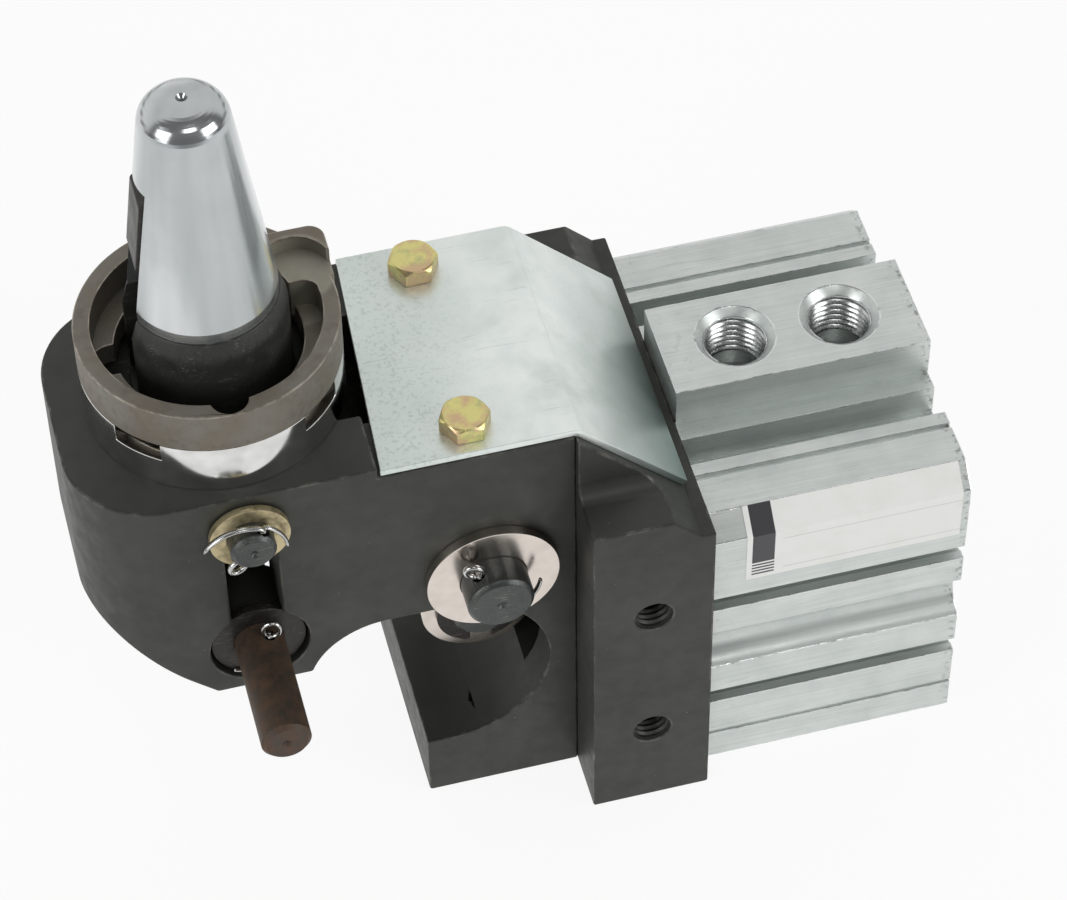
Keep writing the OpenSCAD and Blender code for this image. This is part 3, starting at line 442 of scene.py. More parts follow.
@dataclass(frozen=True)
class RustyPinSteel:
    """Unplated steel pin with a brown rust film and a few rubbed spots."""

    name: str = "rusty pin steel"
    film: str = "#433a31"
    rust: str = "#5c4636"
    dark: str = "#3a352f"
    bare: str = "#8b877f"

    def build(self) -> bpy.types.Material:
        """Builds the finish.

        Returns:
            A brown, patchy, dull metal.
        """
        c = Canvas(self.name)
        patches = c.clouds(2.4, 6.0, Axis.NONE, 0.7)
        base = c.mottle(self.film, self.rust, patches, 0.4, 0.65)
        base = c.mottle(base, self.dark, c.clouds(1.3, 5.0), 0.62, 0.75, 0.7)
        base = c.mottle(base, self.bare, c.clouds(3.1, 5.0, Axis.Y), 0.66, 0.78, 0.5)
        gloss = c.add(Node.RANGE, (patches, 0.3, 0.7, 0.45, 0.7))
        return c.finish(base, 0.4, gloss, (patches, 0.06, 0.5))


@dataclass(frozen=True)
class ZincSheet:
    """Cold rolled sheet with a clear zinc plating, stained, lightly scratched and with painted
    shade on its flap.
    """

    name: str = "zinc plated sheet steel"
    zinc: str = "#f1f6f3"
    stain: str = "#d3dcd7"
    film: str = "#e6eeea"
    shade: str = "#788986"
    # shade is a painted shade colour for the folded flap
    bend_patch_grey: str = "#b7c2bc"
    pepper: str = "#a9b3ad"
    scratch: str = "#98a29d"
    left_x: Pair = (-0.014, -0.03)
    flap_shade_z: Pair = (0.091, 0.075)
    flap_shade_y: Pair = (0.03, -0.01)
    bend_patch_x: Pair = (-0.03, -0.012)
    ragged: float = 0.012

    def build(self) -> bpy.types.Material:
        """Builds the finish.

        Returns:
            A pale green grey satin with stains, a peppered patch, hair scratches, painted flap
            shade.
        """
        c = Canvas(self.name)
        x, y, z = c.where()
        clouds = c.clouds(11.0, 5.0)
        base = c.mottle(self.zinc, self.film, clouds, 0.4, 0.68)
        base = c.mottle(base, self.stain, c.clouds(18.0, 4.0), 0.5, 0.75, 0.7)
        wander = c.add(Node.MATH, (c.clouds(9.0, 3.0), self.ragged), operation="MULTIPLY")
        wander = c.add(Node.MATH, (x, wander), operation="ADD")
        left = c.add(Node.RANGE, (wander, *self.left_x))
        base = c.lay(base, self.stain, left, 0.8)
        # Painted shade: the folded-down flap is painted darker towards its front edge and down its
        # slope
        flap_shade = c.add(Node.RANGE, (y, *self.flap_shade_y, 0.2, 1.0))
        base = c.lay(base, self.shade, c.within(flap_shade, z, *self.flap_shade_z), 0.9)
        # Darker cloudy patches, rising from 30 mm before the bend and kept over the flap
        bend_patches = c.within(c.add(Node.RANGE, (x, *self.bend_patch_x)), c.clouds(10.0, 3.0), 0.5, 0.66)
        base = c.lay(base, self.bend_patch_grey, bend_patches, 0.25)
        base = c.lay(base, self.pepper, c.within(left, c.clouds(0.7, 2.0), 0.52, 0.66), 0.4)
        base = c.lay(base, self.scratch, c.scratches(9.0, 0.5, 0.1), 0.25)
        gloss = c.add(Node.RANGE, (clouds, 0.3, 0.7, 0.28, 0.38))
        return c.finish(base, 0.72, gloss, (c.clouds(0.6, 3.0), 0.01, 0.3))


@dataclass(frozen=True)
class YellowZinc:
    """Zinc plated steel with a yellow chromate, which shines gold, green and pink in patches."""

    name: str = "yellow chromated zinc"
    gold: str = "#dcd48c"
    pink: str = "#d2b48e"
    green: str = "#b2b585"

    def build(self) -> bpy.types.Material:
        """Builds the finish.

        Returns:
            An uneven gold with pink and green clouds.
        """
        c = Canvas(self.name)
        base = c.mottle(self.gold, self.pink, c.clouds(3.4, 3.0), 0.42, 0.6)
        base = c.mottle(base, self.green, c.clouds(2.2, 4.0), 0.52, 0.7, 0.7)
        gloss = c.add(Node.RANGE, (c.clouds(0.8, 4.0), 0.3, 0.7, 0.26, 0.42))
        return c.finish(base, 0.9, gloss, (c.clouds(0.5, 3.0), 0.02, 0.4))


@dataclass(frozen=True)
class PlatedWasher:
    """Zinc plated washer with a faded cream chromate."""

    name: str = "cream zinc plated washer"
    cream: str = "#cdbf98"
    dull: str = "#8f8468"

    def build(self) -> bpy.types.Material:
        """Builds the finish.

        Returns:
            A pale yellow satin with dull patches.
        """
        c = Canvas(self.name)
        base = c.mottle(self.cream, self.dull, c.clouds(2.0, 5.0), 0.45, 0.7)
        return c.finish(base, 0.8, 0.38, (c.clouds(0.4, 3.0), 0.02, 0.3))


@dataclass(frozen=True)
class GroundSteel:
    """Ground or drawn steel, plated with chrome or bare."""

    name: str
    bright: str
    dull: str
    metallic: float
    roughness: float
    lay: Axis
    rub: float
    painted_reflection_share: float = 0.0
    rubbed: str = "#a4a7a7"
    painted_reflection_grey: str = "#9aa0a1"

    def build(self) -> bpy.types.Material:
        """Builds the finish.

        Returns:
            A bright metal with soft grinding streaks, dull rub marks and painted reflection
            stripes.
        """
        c = Canvas(self.name)
        streaks = c.clouds(3.0, 1.0, self.lay, 0.4)
        rubs = c.clouds(9.0, 3.0)
        base = c.mottle(self.bright, self.dull, streaks, 0.3, 0.75)
        base = c.mottle(base, self.rubbed, rubs, 0.52, 0.78, self.rub)
        # Painted reflection: soft grey stripes along the lay stand in for the dim room reflected by
        # the chrome
        base = c.mottle(base, self.painted_reflection_grey, c.clouds(7.0, 0.0, self.lay), 0.4, 0.66, self.painted_reflection_share)
        low, high = self.roughness - 0.03, self.roughness + 0.05
        gloss = c.add(Node.RANGE, (rubs, 0.3, 0.7, low, high))
        return c.finish(base, self.metallic, gloss, (streaks, 0.004, 0.15))


@dataclass(frozen=True)
class AnodisedAluminium:
    """Extruded aluminium with a natural anodised coat."""

    name: str = "natural anodised aluminium"
    pale: str = "#d6dbd8"
    grey: str = "#c3c9c6"
    scuff: str = "#6c6e6c"
    fret: str = "#8c8882"
    scratch: str = "#9da19f"
    end_mm: float = 58.0
    scuffed_mm: Pair = (2.2, 0.6)
    clean_mm: Pair = (0.35, 0.1)
    fretted_mm: Pair = (24.0, 11.0)

    def build(self) -> bpy.types.Material:
        """Builds the finish.

        Returns:
            A satin silver with long die lines, thin scratches and scuffs by the sawn end.
        """
        c = Canvas(self.name)
        along = c.where()[0]
        die_lines = c.clouds(0.5, 3.0, Axis.X)
        clouds = c.clouds(9.0, 5.0)
        both = c.add(Node.MATH, (die_lines, clouds), operation="ADD")
        base = c.mottle(self.pale, self.grey, both, 0.75, 1.3)
        near_end = c.add(Node.RANGE, (along, *(mm(self.end_mm - d) for d in self.scuffed_mm)))
        # The sawn face itself is clean, so the scuffs stop short of it
        on_face = c.add(Node.RANGE, (along, *(mm(self.end_mm - d) for d in self.clean_mm)))
        off_face = c.add(Node.MATH, (1.0, on_face), operation="SUBTRACT")
        scuffs = c.within(near_end, c.clouds(1.1, 5.0), 0.52, 0.62)
        scuffs = c.add(Node.MATH, (scuffs, off_face), operation="MULTIPLY")
        base = c.lay(base, self.scuff, scuffs, 0.7)
        near_front = c.add(Node.RANGE, (along, *(mm(x) for x in self.fretted_mm)))
        base = c.lay(base, self.fret, c.within(near_front, c.clouds(1.6, 6.0), 0.6, 0.7), 0.3)
        base = c.lay(base, self.scratch, c.scratches(8.0, 1.1, 0.15), 0.3)
        # The grain of the etched coat is finer than a pixel, so it is drawn at 0.3 mm
        grain = c.clouds(0.3, 2.0)
        gloss = c.add(Node.RANGE, (clouds, 0.3, 0.7, 0.34, 0.44))
        return c.finish(base, 0.75, gloss, (grain, 0.008, 0.3), (die_lines, 0.01, 0.2))


@dataclass(frozen=True)
class CutAluminium:
    """Freshly cut aluminium inside the ports."""

    name: str = "cut aluminium"
    bright: str = "#dcdfde"
    dull: str = "#b9bdbc"

    def build(self) -> bpy.types.Material:
        """Builds the finish.

        Returns:
            A bright bare metal with fine tool rings.
        """
        c = Canvas(self.name)
        rings = c.clouds(0.4, 3.0)
        base = c.mottle(self.bright, self.dull, rings, 0.3, 0.7)
        return c.finish(base, 1.0, c.add(Node.RANGE, (rings, 0.3, 0.7, 0.18, 0.32)))


@dataclass(frozen=True)
class Bronze:
    """Sintered tin bronze of the bushes and the wear ring."""

    name: str = "sintered bronze"
    golden: str = "#b48a4a"
    pore: str = "#5d4322"

    def build(self) -> bpy.types.Material:
        """Builds the finish.

        Returns:
            A dull golden metal with small dark pores.
        """
        c = Canvas(self.name)
        return c.finish(c.lay(self.golden, self.pore, c.specks(0.8, 0.25), 0.6), 0.9, 0.42)


@dataclass(frozen=True)
class BlackRubber:
    """Moulded nitrile rubber of the seals and bumpers."""

    name: str = "nitrile rubber"
    black: str = "#1b1b1c"
    greasy: str = "#2a2a2b"

    def build(self) -> bpy.types.Material:
        """Builds the finish.

        Returns:
            A dull black with a trace of grease.
        """
        c = Canvas(self.name)
        grease = c.clouds(2.0, 4.0)
        base = c.mottle(self.black, self.greasy, grease, 0.4, 0.7)
        return c.finish(base, 0.0, c.add(Node.RANGE, (grease, 0.3, 0.7, 0.5, 0.7)))


@dataclass(frozen=True)
class PaperLabel:
    """Glossy white printed film, left bare but for a dark bar, a ladder and two ruled lines."""

    name: str = "white label film"
    white: str = "#eeeeeb"
    yellowed: str = "#e0dfd8"
    ink: str = "#3c3c3f"
    left_mm: float = 18.0
    low_mm: float = 57.0
    bar_mm: float = 4.1
    bar_foot_mm: float = 4.6
    ladder_foot_mm: float = 0.9
    step_mm: float = 0.8
    rules_mm: Pair = (1.6, 9.5)
    rule_mm: float = 0.07
    gap_mm: float = 1.6
    rule_ink: float = 0.35

    def build(self) -> bpy.types.Material:
        """Builds the finish.

        Returns:
            White film with its print, measured from the label's own corner.
        """
        c = Canvas(self.name)
        x, _, z = c.where()

        def above(value: Any, limit_mm: float) -> Any:
            """Returns 1 where a place lies above a limit."""
            return c.add(Node.MATH, (value, mm(limit_mm)), operation="GREATER_THAN")

        bar_end = c.add(Node.MATH, (x, mm(self.left_mm + self.bar_mm)), operation="LESS_THAN")
        bar = c.add(Node.MATH, (above(x, self.left_mm), bar_end), operation="MULTIPLY")
        # The ladder under the bar has a step every 0.8 mm
        steps = c.add(Node.MATH, (z, 1.0 / mm(self.step_mm)), operation="MULTIPLY")
        steps = c.add(Node.MATH, (steps,), operation="FRACT")
        steps = c.add(Node.MATH, (steps, 0.5), operation="GREATER_THAN")
        foot = above(z, self.low_mm + self.ladder_foot_mm)
        ladder = c.add(Node.MATH, (steps, foot), operation="MULTIPLY")
        solid = above(z, self.low_mm + self.bar_foot_mm)
        dark = c.add(Node.MATH, (solid, ladder), operation="MAXIMUM")
        dark = c.add(Node.MATH, (bar, dark), operation="MULTIPLY")
        rules: Any = 0.0
        for height in self.rules_mm:
            off = c.add(Node.MATH, (z, mm(self.low_mm + height)), operation="SUBTRACT")
            off = c.add(Node.MATH, (off,), operation="ABSOLUTE")
            rule = c.add(Node.MATH, (off, mm(self.rule_mm)), operation="LESS_THAN")
            rules = c.add(Node.MATH, (rules, rule), operation="MAXIMUM")
        after_bar = above(x, self.left_mm + self.bar_mm + self.gap_mm)
        rules = c.add(Node.MATH, (rules, after_bar), operation="MULTIPLY")
        rules = c.add(Node.MATH, (rules, self.rule_ink), operation="MULTIPLY")
        ink = c.add(Node.MATH, (dark, rules), operation="MAXIMUM")
        paper = c.mottle(self.white, self.yellowed, c.clouds(6.0, 4.0), 0.5, 0.8, 0.5)
        return c.finish(c.add(Node.MIX, (ink, paper, self.ink), data_type="RGBA"), 0.0, 0.32)


class Finish(Enum):
    """Every finish of the part, by the record's material slot that carries it."""

    BLACK_OXIDE = "black_oxide_steel"
    DARK_STEEL = "dark_steel"
    DARK_PIN = "dark_pin_steel"
    DARK_TURNED = "dark_turned_steel"
    ZINC_SHEET = "zinc_plated_sheet"
    YELLOW_ZINC = "yellow_zinc"
    COLLAR_CHROME = "chromed_collar"
    HARD_CHROME = "hard_chrome"
    BROWN_STEEL = "brown_hardened_steel"
    BRIGHT_STEEL = "bright_steel"
    RUSTY_PIN = "rusty_pin_steel"
    POLISHED = "polished_washer"
    BRONZE = "bronze"
    ANODISED = "anodised_aluminium"
    RUBBER = "black_rubber"
    LABEL = "blank_label"


RECIPES: dict[Finish, Any] = {
    Finish.BLACK_OXIDE: BlackOxideSteel(),
    Finish.DARK_STEEL: DarkSteel("phosphated alloy steel", "#2b2926", "#3a3835"),
    Finish.DARK_PIN: DarkSteel(
        "dark drawn pin steel", "#3d4140", "#565856", 0.6, 0.36, Axis.Y, 0.4
    ),
    Finish.DARK_TURNED: DarkSteel(
        "dark turned steel", "#353632", "#41423e", 0.45, 0.45, Axis.NONE, 0.6
    ),
    Finish.ZINC_SHEET: ZincSheet(),
    Finish.YELLOW_ZINC: YellowZinc(),
    Finish.COLLAR_CHROME: GroundSteel(
        "bright chromed ring", "#e2e2e0", "#cfcfcc", 1.0, 0.12, Axis.NONE, 0.15
    ),
    # Its last value, 0.5, is the share of painted reflection stripes
    Finish.HARD_CHROME: GroundSteel(
        "hard chrome", "#dcdfe0", "#c9cdce", 0.85, 0.17, Axis.Z, 0.2, 0.5
    ),
    Finish.BROWN_STEEL: BrownedSteel(),
    Finish.BRIGHT_STEEL: GroundSteel(
        "bright drawn steel", "#cfcfcd", "#a9a9a6", 1.0, 0.22, Axis.NONE, 0.5
    ),
    Finish.RUSTY_PIN: RustyPinSteel(),
    Finish.POLISHED: GroundSteel(
        "ground washer steel", "#ded5cd", "#d3c9c0", 1.0, 0.2, Axis.NONE, 0.12
    ),
    Finish.BRONZE: Bronze(),
    Finish.ANODISED: AnodisedAluminium(),
    Finish.RUBBER: BlackRubber(),
    Finish.LABEL: PaperLabel(),
}


@dataclass
class Paintbox:
    """Builds each finish once and hands it out."""

    made: dict[str, bpy.types.Material] = field(default_factory=dict)

    def get(self, recipe: Any) -> bpy.types.Material:
        """Builds a recipe on its first use.

        Args:
            recipe: the finish.

        Returns:
            Its material.
        """
        if recipe.name not in self.made:
            self.made[recipe.name] = recipe.build()
        return self.made[recipe.name]

    def finish(self, finish: Finish) -> bpy.types.Material:
        """Returns the material of one of the part's finishes."""
        return self.get(RECIPES[finish])


PAINT = Paintbox()
# Angle between two faces from which their edge counts as sharp, and up to which it counts as flat
SHARP = math.radians(28.0)
FLAT = math.radians(0.4)
WELD = mm(0.0005)


def new_object(name: str, mesh: bmesh.types.BMesh, materials: Sequence[bpy.types.Material]) -> Any:
    """Turns a bmesh into an object of the scene.

    Args:
        name: the piece's name.
        mesh: the bmesh, freed here.
        materials: one material for each slot.

    Returns:
        The new object, with its origin at the frame's.
    """
    data = bpy.data.meshes.new(name)
    mesh.normal_update()
    mesh.to_mesh(data)
    mesh.free()
    for material in materials:
        data.materials.append(material)
    piece = bpy.data.objects.new(name, data)
    bpy.context.scene.collection.objects.link(piece)
    return piece


def shade(piece: Any) -> None:
    """Shades a piece smooth, with its sharp edges kept and its large flats kept flat.

    Args:
        piece: the object.
    """
    mesh = bmesh.new()
    mesh.from_mesh(piece.data)
    for edge in mesh.edges:
        edge.smooth = not (len(edge.link_faces) == 2 and edge.calc_face_angle(0.0) > SHARP)
    for face in mesh.faces:
        face.smooth = True
    mesh.to_mesh(piece.data)
    mesh.free()
    modifier = piece.modifiers.new("face weighted normals", "WEIGHTED_NORMAL")
    modifier.weight = 60  # above the middle, so that the large faces rule
    modifier.keep_sharp = True


@dataclass(frozen=True)
class MachinedPart:
    """A CAD node shown as it comes from the machine: with its edges broken and its own finish.

    Its edges are broken by edge_mm and take edge_recipe if there is one. recipe stands in for the
    slot's own finish. A face has to reach room times edge_mm from an edge that is broken. Edges at
    a side shorter than short_side_mm stay sharp, and so do those on covered_seat, which another
    piece covers: its centre and its radius in mm.
    """

    node: str
    finish: Finish
    edge_mm: float
    edge_recipe: Any = None
    recipe: Any = None
    room: float = 2.2
    short_side_mm: float = 0.0
    covered_seat: Sequence[float] = ()

    def depth_beside(self, edge: bmesh.types.BMEdge, face: bmesh.types.BMFace) -> float:
        """Measures how far a face reaches from one of its edges.

        Args:
            edge: the edge.
            face: the face beside it.

        Returns:
            The depth in metres.
        """
        start = edge.verts[0].co
        along = (edge.verts[1].co - start).normalized()
        return max(((v.co - start) - (v.co - start).dot(along) * along).length for v in face.verts)

    def short_sides(self, mesh: bmesh.types.BMesh) -> set[int]:
        """Finds the sides that are too short for the edges beside them to be broken.

        Args:
            mesh: the piece.

        Returns:
            The numbers of the vertices at both ends of each such side.
        """
        found: set[int] = set()
        for face in mesh.faces:
            for loop in face.loops:
                ahead = loop.link_loop_next
                turn = math.pi - max(loop.calc_angle(), ahead.calc_angle())
                if turn > SHARP and loop.edge.calc_length() < mm(self.short_side_mm):
                    found.update((loop.vert.index, ahead.vert.index))
        return found

    def covered(self, vertex: bmesh.types.BMVert) -> bool:
        """Tells whether a vertex lies on the seat that another piece covers.

        Args:
            vertex: the vertex.

        Returns:
            True if it does.
        """
        if not self.covered_seat:
            return False
        x, y, z, radius = (mm(value) for value in self.covered_seat)
        away = math.hypot(vertex.co.x - x, vertex.co.y - y)
        return abs(vertex.co.z - z) < mm(0.01) and away < radius

    def outer_edges(self, mesh: bmesh.types.BMesh) -> list[bmesh.types.BMEdge]:
        """Finds the outer edges that have room beside them for a tool to break them.

        Args:
            mesh: the piece.

        Returns:
            The edges.
        """
        least = mm(self.edge_mm) * self.room
        mesh.verts.index_update()
        crowded = self.short_sides(mesh) if self.short_side_mm > 0 else set()
        chosen = []
        for edge in mesh.edges:
            sharp = len(edge.link_faces) == 2 and edge.calc_face_angle(0.0) >= SHARP
            if not sharp or not edge.is_convex:
                continue
            if any(v.index in crowded or self.covered(v) for v in edge.verts):
                continue
            if min(self.depth_beside(edge, face) for face in edge.link_faces) > least:
                chosen.append(edge)
        return chosen

    def build(self) -> Any:
        """Builds the dressed piece, which then stands for its node.

        Returns:
            The new object.
        """
        source = frame["nodes"][self.node]
        mesh = bmesh.new()
        mesh.from_mesh(source.data)
        bmesh.ops.remove_doubles(mesh, verts=mesh.verts, dist=WELD)
        bmesh.ops.dissolve_degenerate(mesh, edges=mesh.edges, dist=WELD)
        bmesh.ops.dissolve_limit(
            mesh,
            angle_limit=FLAT,
            verts=mesh.verts,
            edges=mesh.edges,
            use_dissolve_boundaries=False,
        )
        for face in mesh.faces:
            face.material_index = 0
        materials = [PAINT.get(self.recipe or RECIPES[self.finish])]
        if self.edge_recipe is not None:
            materials.append(PAINT.get(self.edge_recipe))
        if self.edge_mm > 0:
            bmesh.ops.bevel(
                mesh,
                geom=self.outer_edges(mesh),
                offset=mm(self.edge_mm),
                offset_type="OFFSET",
                segments=2,
                profile=0.5,
                affect="EDGES",
                clamp_overlap=False,
                material=1 if self.edge_recipe is not None else -1,
                loop_slide=True,
            )
            bmesh.ops.remove_doubles(mesh, verts=mesh.verts, dist=2 * WELD)
        piece = new_object(self.node + "_dressed", mesh, materials)
        shade(piece)
        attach(piece, body_of(source)[0])
        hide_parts(self.node)
        return piece


def paint_node(node: str, finish: Finish) -> Any:
    """Gives a CAD node its finish and leaves its shape alone.

    Args:
        node: the node's name.
        finish: the finish for all of its slots.

    Returns:
        The node's object.
    """
    piece = frame["nodes"][node]
    for slot in piece.material_slots:
        slot.material = PAINT.finish(finish)
    return piece


WIRE_SIDES = 12
WIRE_TIP = 0.8


def add_wire(
    mesh: bmesh.types.BMesh, points: Sequence[Vector], radius: float, flat: float
) -> None:
    """Adds a flattened wire along a path to a mesh, a little narrower at its closed ends.

    Args:
        mesh: the mesh that gets the wire.
        points: the path of its centre.
        radius: half of the wire's width.
        flat: height of the section as a share of its width.
    """
    sides = WIRE_SIDES
    rings = []
    across = Vector((0.0, 1.0, 0.0))
    for i, centre in enumerate(points):
        ahead = points[min(i + 1, len(points) - 1)] - points[max(i - 1, 0)]
        ahead.normalize()
        across = (across - across.dot(ahead) * ahead).normalized()
        up = ahead.cross(across)
        taper = WIRE_TIP if i in (0, len(points) - 1) else 1.0
        ring = []
        for k in range(sides):
            turn = math.tau * k / sides
            offset = across * math.cos(turn) + up * math.sin(turn) * flat
            ring.append(mesh.verts.new(centre + offset * radius * taper))
        rings.append(ring)
    for first, second in zip(rings, rings[1:]):
        for k in range(sides):
            mesh.faces.new((first[k], first[(k + 1) % sides], second[(k + 1) % sides], second[k]))
    mesh.faces.new(rings[0][::-1])
    mesh.faces.new(rings[-1])


@dataclass(frozen=True)
class CutThread:
    """The thread of a tapped hole, as a thin lining of the drilled bore.

    Its profile is the root's flat, the rising flank, the crest and the falling flank, as shares of
    the pitch and of the ridge. The lining's back and its roots stand off the bore by clear_mm. Its
    first turn grows out of the countersink from the share first_turn.
    """

    name: str
    mouth: Point
    inward: Point
    bore_mm: float
    depth_mm: float
    pitch_mm: float
    ridge_mm: float
    start_mm: float = 0.6
    clear_mm: Pair = (0.005, 0.04)
    first_turn: float = 0.35
    steps: int = 64
    profile: Sequence[Pair] = (
        (0.0, 0.0),
        (0.12, 0.0),
        (0.42, 0.9),
        (0.5, 1.0),
        (0.58, 0.9),
        (0.88, 0.0),
    )

    def build(self, material: bpy.types.Material, body: str, slot: Finish) -> Any:
        """Builds the ridges as one helical surface with a closed back.

        Args:
            material: the metal that is cut.
            body: the body that the hole is in.
            slot: the record's slot of that metal; not used.

        Returns:
            The new object.
        """
        steps = self.steps
        turns = int((self.depth_mm - self.start_mm) / self.pitch_mm) + 2
        mouth = Vector(self.mouth)
        inward = Vector(self.inward)
        side = inward.orthogonal().normalized()
        other = inward.cross(side)
        back, root = (mm(self.bore_mm - clear) for clear in self.clear_mm)
        mesh = bmesh.new()
        columns = []
        for i in range(steps):
            turn = math.tau * i / steps
            out = side * math.cos(turn) + other * math.sin(turn)
            column = []
            for k in range(turns):
                for share, rise in self.profile:
                    along = self.start_mm + self.pitch_mm * (k - 1 + share + i / steps)
                    along = min(max(along, self.start_mm), self.depth_mm)
                    grown = min(1.0, self.first_turn + (along - self.start_mm) / self.pitch_mm)
                    radius = root - mm(self.ridge_mm) * rise * grown
                    column.append(mesh.verts.new(mouth + inward * mm(along) + out * radius))
            for along in (self.depth_mm, self.start_mm):
                column.append(mesh.verts.new(mouth + inward * mm(along) + out * back))
            columns.append(column)
        wrap = len(self.profile)
        rows = wrap * turns
        for i in range(steps):
            here, there = columns[i], columns[(i + 1) % steps]
            shift = wrap if i == steps - 1 else 0
            for j in range(rows - 1 - shift):
                mesh.faces.new((here[j + shift], here[j + shift + 1], there[j + 1], there[j]))
            mesh.faces.new((here[rows - 1], here[rows], there[rows], there[rows - 1 - shift]))
            mesh.faces.new((here[rows], here[rows + 1], there[rows + 1], there[rows]))
            mesh.faces.new((here[rows + 1], here[shift], there[0], there[rows + 1]))
        bmesh.ops.remove_doubles(mesh, verts=mesh.verts, dist=WELD)
        bmesh.ops.recalc_face_normals(mesh, faces=mesh.faces)
        piece = new_object(self.name, mesh, [material])
        shade(piece)
        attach(piece, body)
        return piece


Bends = tuple[Pair, Pair]


@dataclass(frozen=True)
class SplitPin:
    """One split pin of half-round wire, with its eye on one side of a pin and its legs bent apart.

    It lies across the pin at the angle turn. Each leg curls round the pin by its sweep in degrees,
    and its tip stands off the pin by its spread. A leg leaves the hole over the share hole_bend of
    its sweep.
    """

    at: Point
    pin_r_mm: float
    turn: float
    sweeps: Pair
    spread_mm: Pair
    wire_mm: float = 1.15
    eye_mm: float = 1.45
    eye_gap: float = 56.0
    eye_reach: float = 1.15
    hole_bend: float = 0.12

    def place(self, radius_mm: float, angle: float, along_mm: float = 0.0) -> Vector:
        """Finds a point by its distance and angle round the pin's axis.

        Args:
            radius_mm: distance from the pin's axis.
            angle: degrees above +X, seen from the front.
            along_mm: shift towards the nearer end of the pin.

        Returns:
            The point in metres.
        """
        a = math.radians(angle)
        outward = -1.0 if self.at[1] < 0 else 1.0
        x, y, z = self.at
        return Vector(
            (
                x + mm(radius_mm) * math.cos(a),
                y + outward * mm(along_mm),
                z + mm(radius_mm) * math.sin(a),
            )
        )

    def leg(self, mesh: bmesh.types.BMesh, sweep: float, spread_mm: float, shift_mm: float) -> None:
        """Adds one leg: straight through the pin, then curled round it.

        Args:
            mesh: the mesh that gets the leg.
            sweep: degrees that the leg curls round the pin.
            spread_mm: how far its tip stands off the pin.
            shift_mm: its place beside the other leg.
        """
        half = self.wire_mm / 2
        path = [self.place(-self.pin_r_mm - 0.4, self.turn, shift_mm)]
        path += [self.place(self.pin_r_mm * s / 4, self.turn, shift_mm) for s in range(-3, 4)]
        start, curl = self.hole_bend, 1.0 - self.hole_bend
        steps = 6
        for i in range(steps + 1):
            share = i / steps
            radius = self.pin_r_mm + half * (0.4 + 0.9 * share)
            path.append(self.place(radius, self.turn + sweep * start * share**2, shift_mm))
        steps = 22
        for i in range(1, steps + 1):
            share = i / steps
            radius = self.pin_r_mm + half * 1.3 + spread_mm * share**1.8
            angle = self.turn + sweep * (start + curl * share)
            path.append(self.place(radius, angle, shift_mm))
        add_wire(mesh, path, mm(half), 0.62)

    def eye(self, mesh: bmesh.types.BMesh) -> None:
        """Adds the open loop of wire that stops the pin from slipping through.

        Args:
            mesh: the mesh that gets the eye.
        """
        half = self.wire_mm / 2
        far_side = self.turn + 180.0
        centre = self.place(self.pin_r_mm + self.eye_mm * 0.95, far_side)
        loop = 360.0 - self.eye_gap
        steps = 26
        path = [
            centre + self.round_eye(math.radians(loop * (i / steps - 0.5)))
            for i in range(steps + 1)
        ]
        start, end = (
            self.place(self.pin_r_mm - 0.7, far_side, side * half * 0.5) for side in (-1.0, 1.0)
        )
        add_wire(mesh, [start, *path, end], mm(half * 0.95), 0.8)

    def round_eye(self, angle: float) -> Vector:
        """Finds a point of the eye's loop.

        Args:
            angle: its place on the loop in radians.

        Returns:
            The way to it from the eye's centre.
        """
        a = math.radians(self.turn + 180.0)
        outward = Vector((math.cos(a), 0.0, math.sin(a)))
        sideways = Vector((-math.sin(a), 0.25, math.cos(a))).normalized()
        reach = outward * math.cos(angle) * self.eye_reach
        return (reach + sideways * math.sin(angle)) * mm(self.eye_mm)

    def add_to(self, mesh: bmesh.types.BMesh) -> None:
        """Adds both legs and the eye to a mesh.

        Args:
            mesh: the mesh that gets them.
        """
        quarter = self.wire_mm * 0.27
        self.leg(mesh, self.sweeps[0], self.spread_mm[0], quarter)
        self.leg(mesh, -self.sweeps[1], self.spread_mm[1], -quarter)
        self.eye(mesh)


def build_split_pins(node: str, end: Point, pin_r_mm: float, turn: float, bends: Bends) -> Any:
    """Builds the split pins at both ends of a pin as one piece that stands for their node.

    Args:
        node: the CAD node that holds them.
        end: where the one at the far end sits; the near one is its mirror image.
        pin_r_mm: radius of the pin.
        turn: the angle at which they lie across it, in degrees.
        bends: sweeps and spreads of their legs.

    Returns:
        The new object.
    """
    x, y, z = end
    mesh = bmesh.new()
    for side in (-1.0, 1.0):
        SplitPin((x, side * y, z), pin_r_mm, turn, *bends).add_to(mesh)
    bmesh.ops.recalc_face_normals(mesh, faces=mesh.faces)
    piece = new_object(node + "_bent", mesh, [PAINT.finish(Finish.BRIGHT_STEEL)])
    for polygon in piece.data.polygons:
        polygon.use_smooth = True
    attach(piece, body_of(frame["nodes"][node])[0])
    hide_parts(node)
    return piece


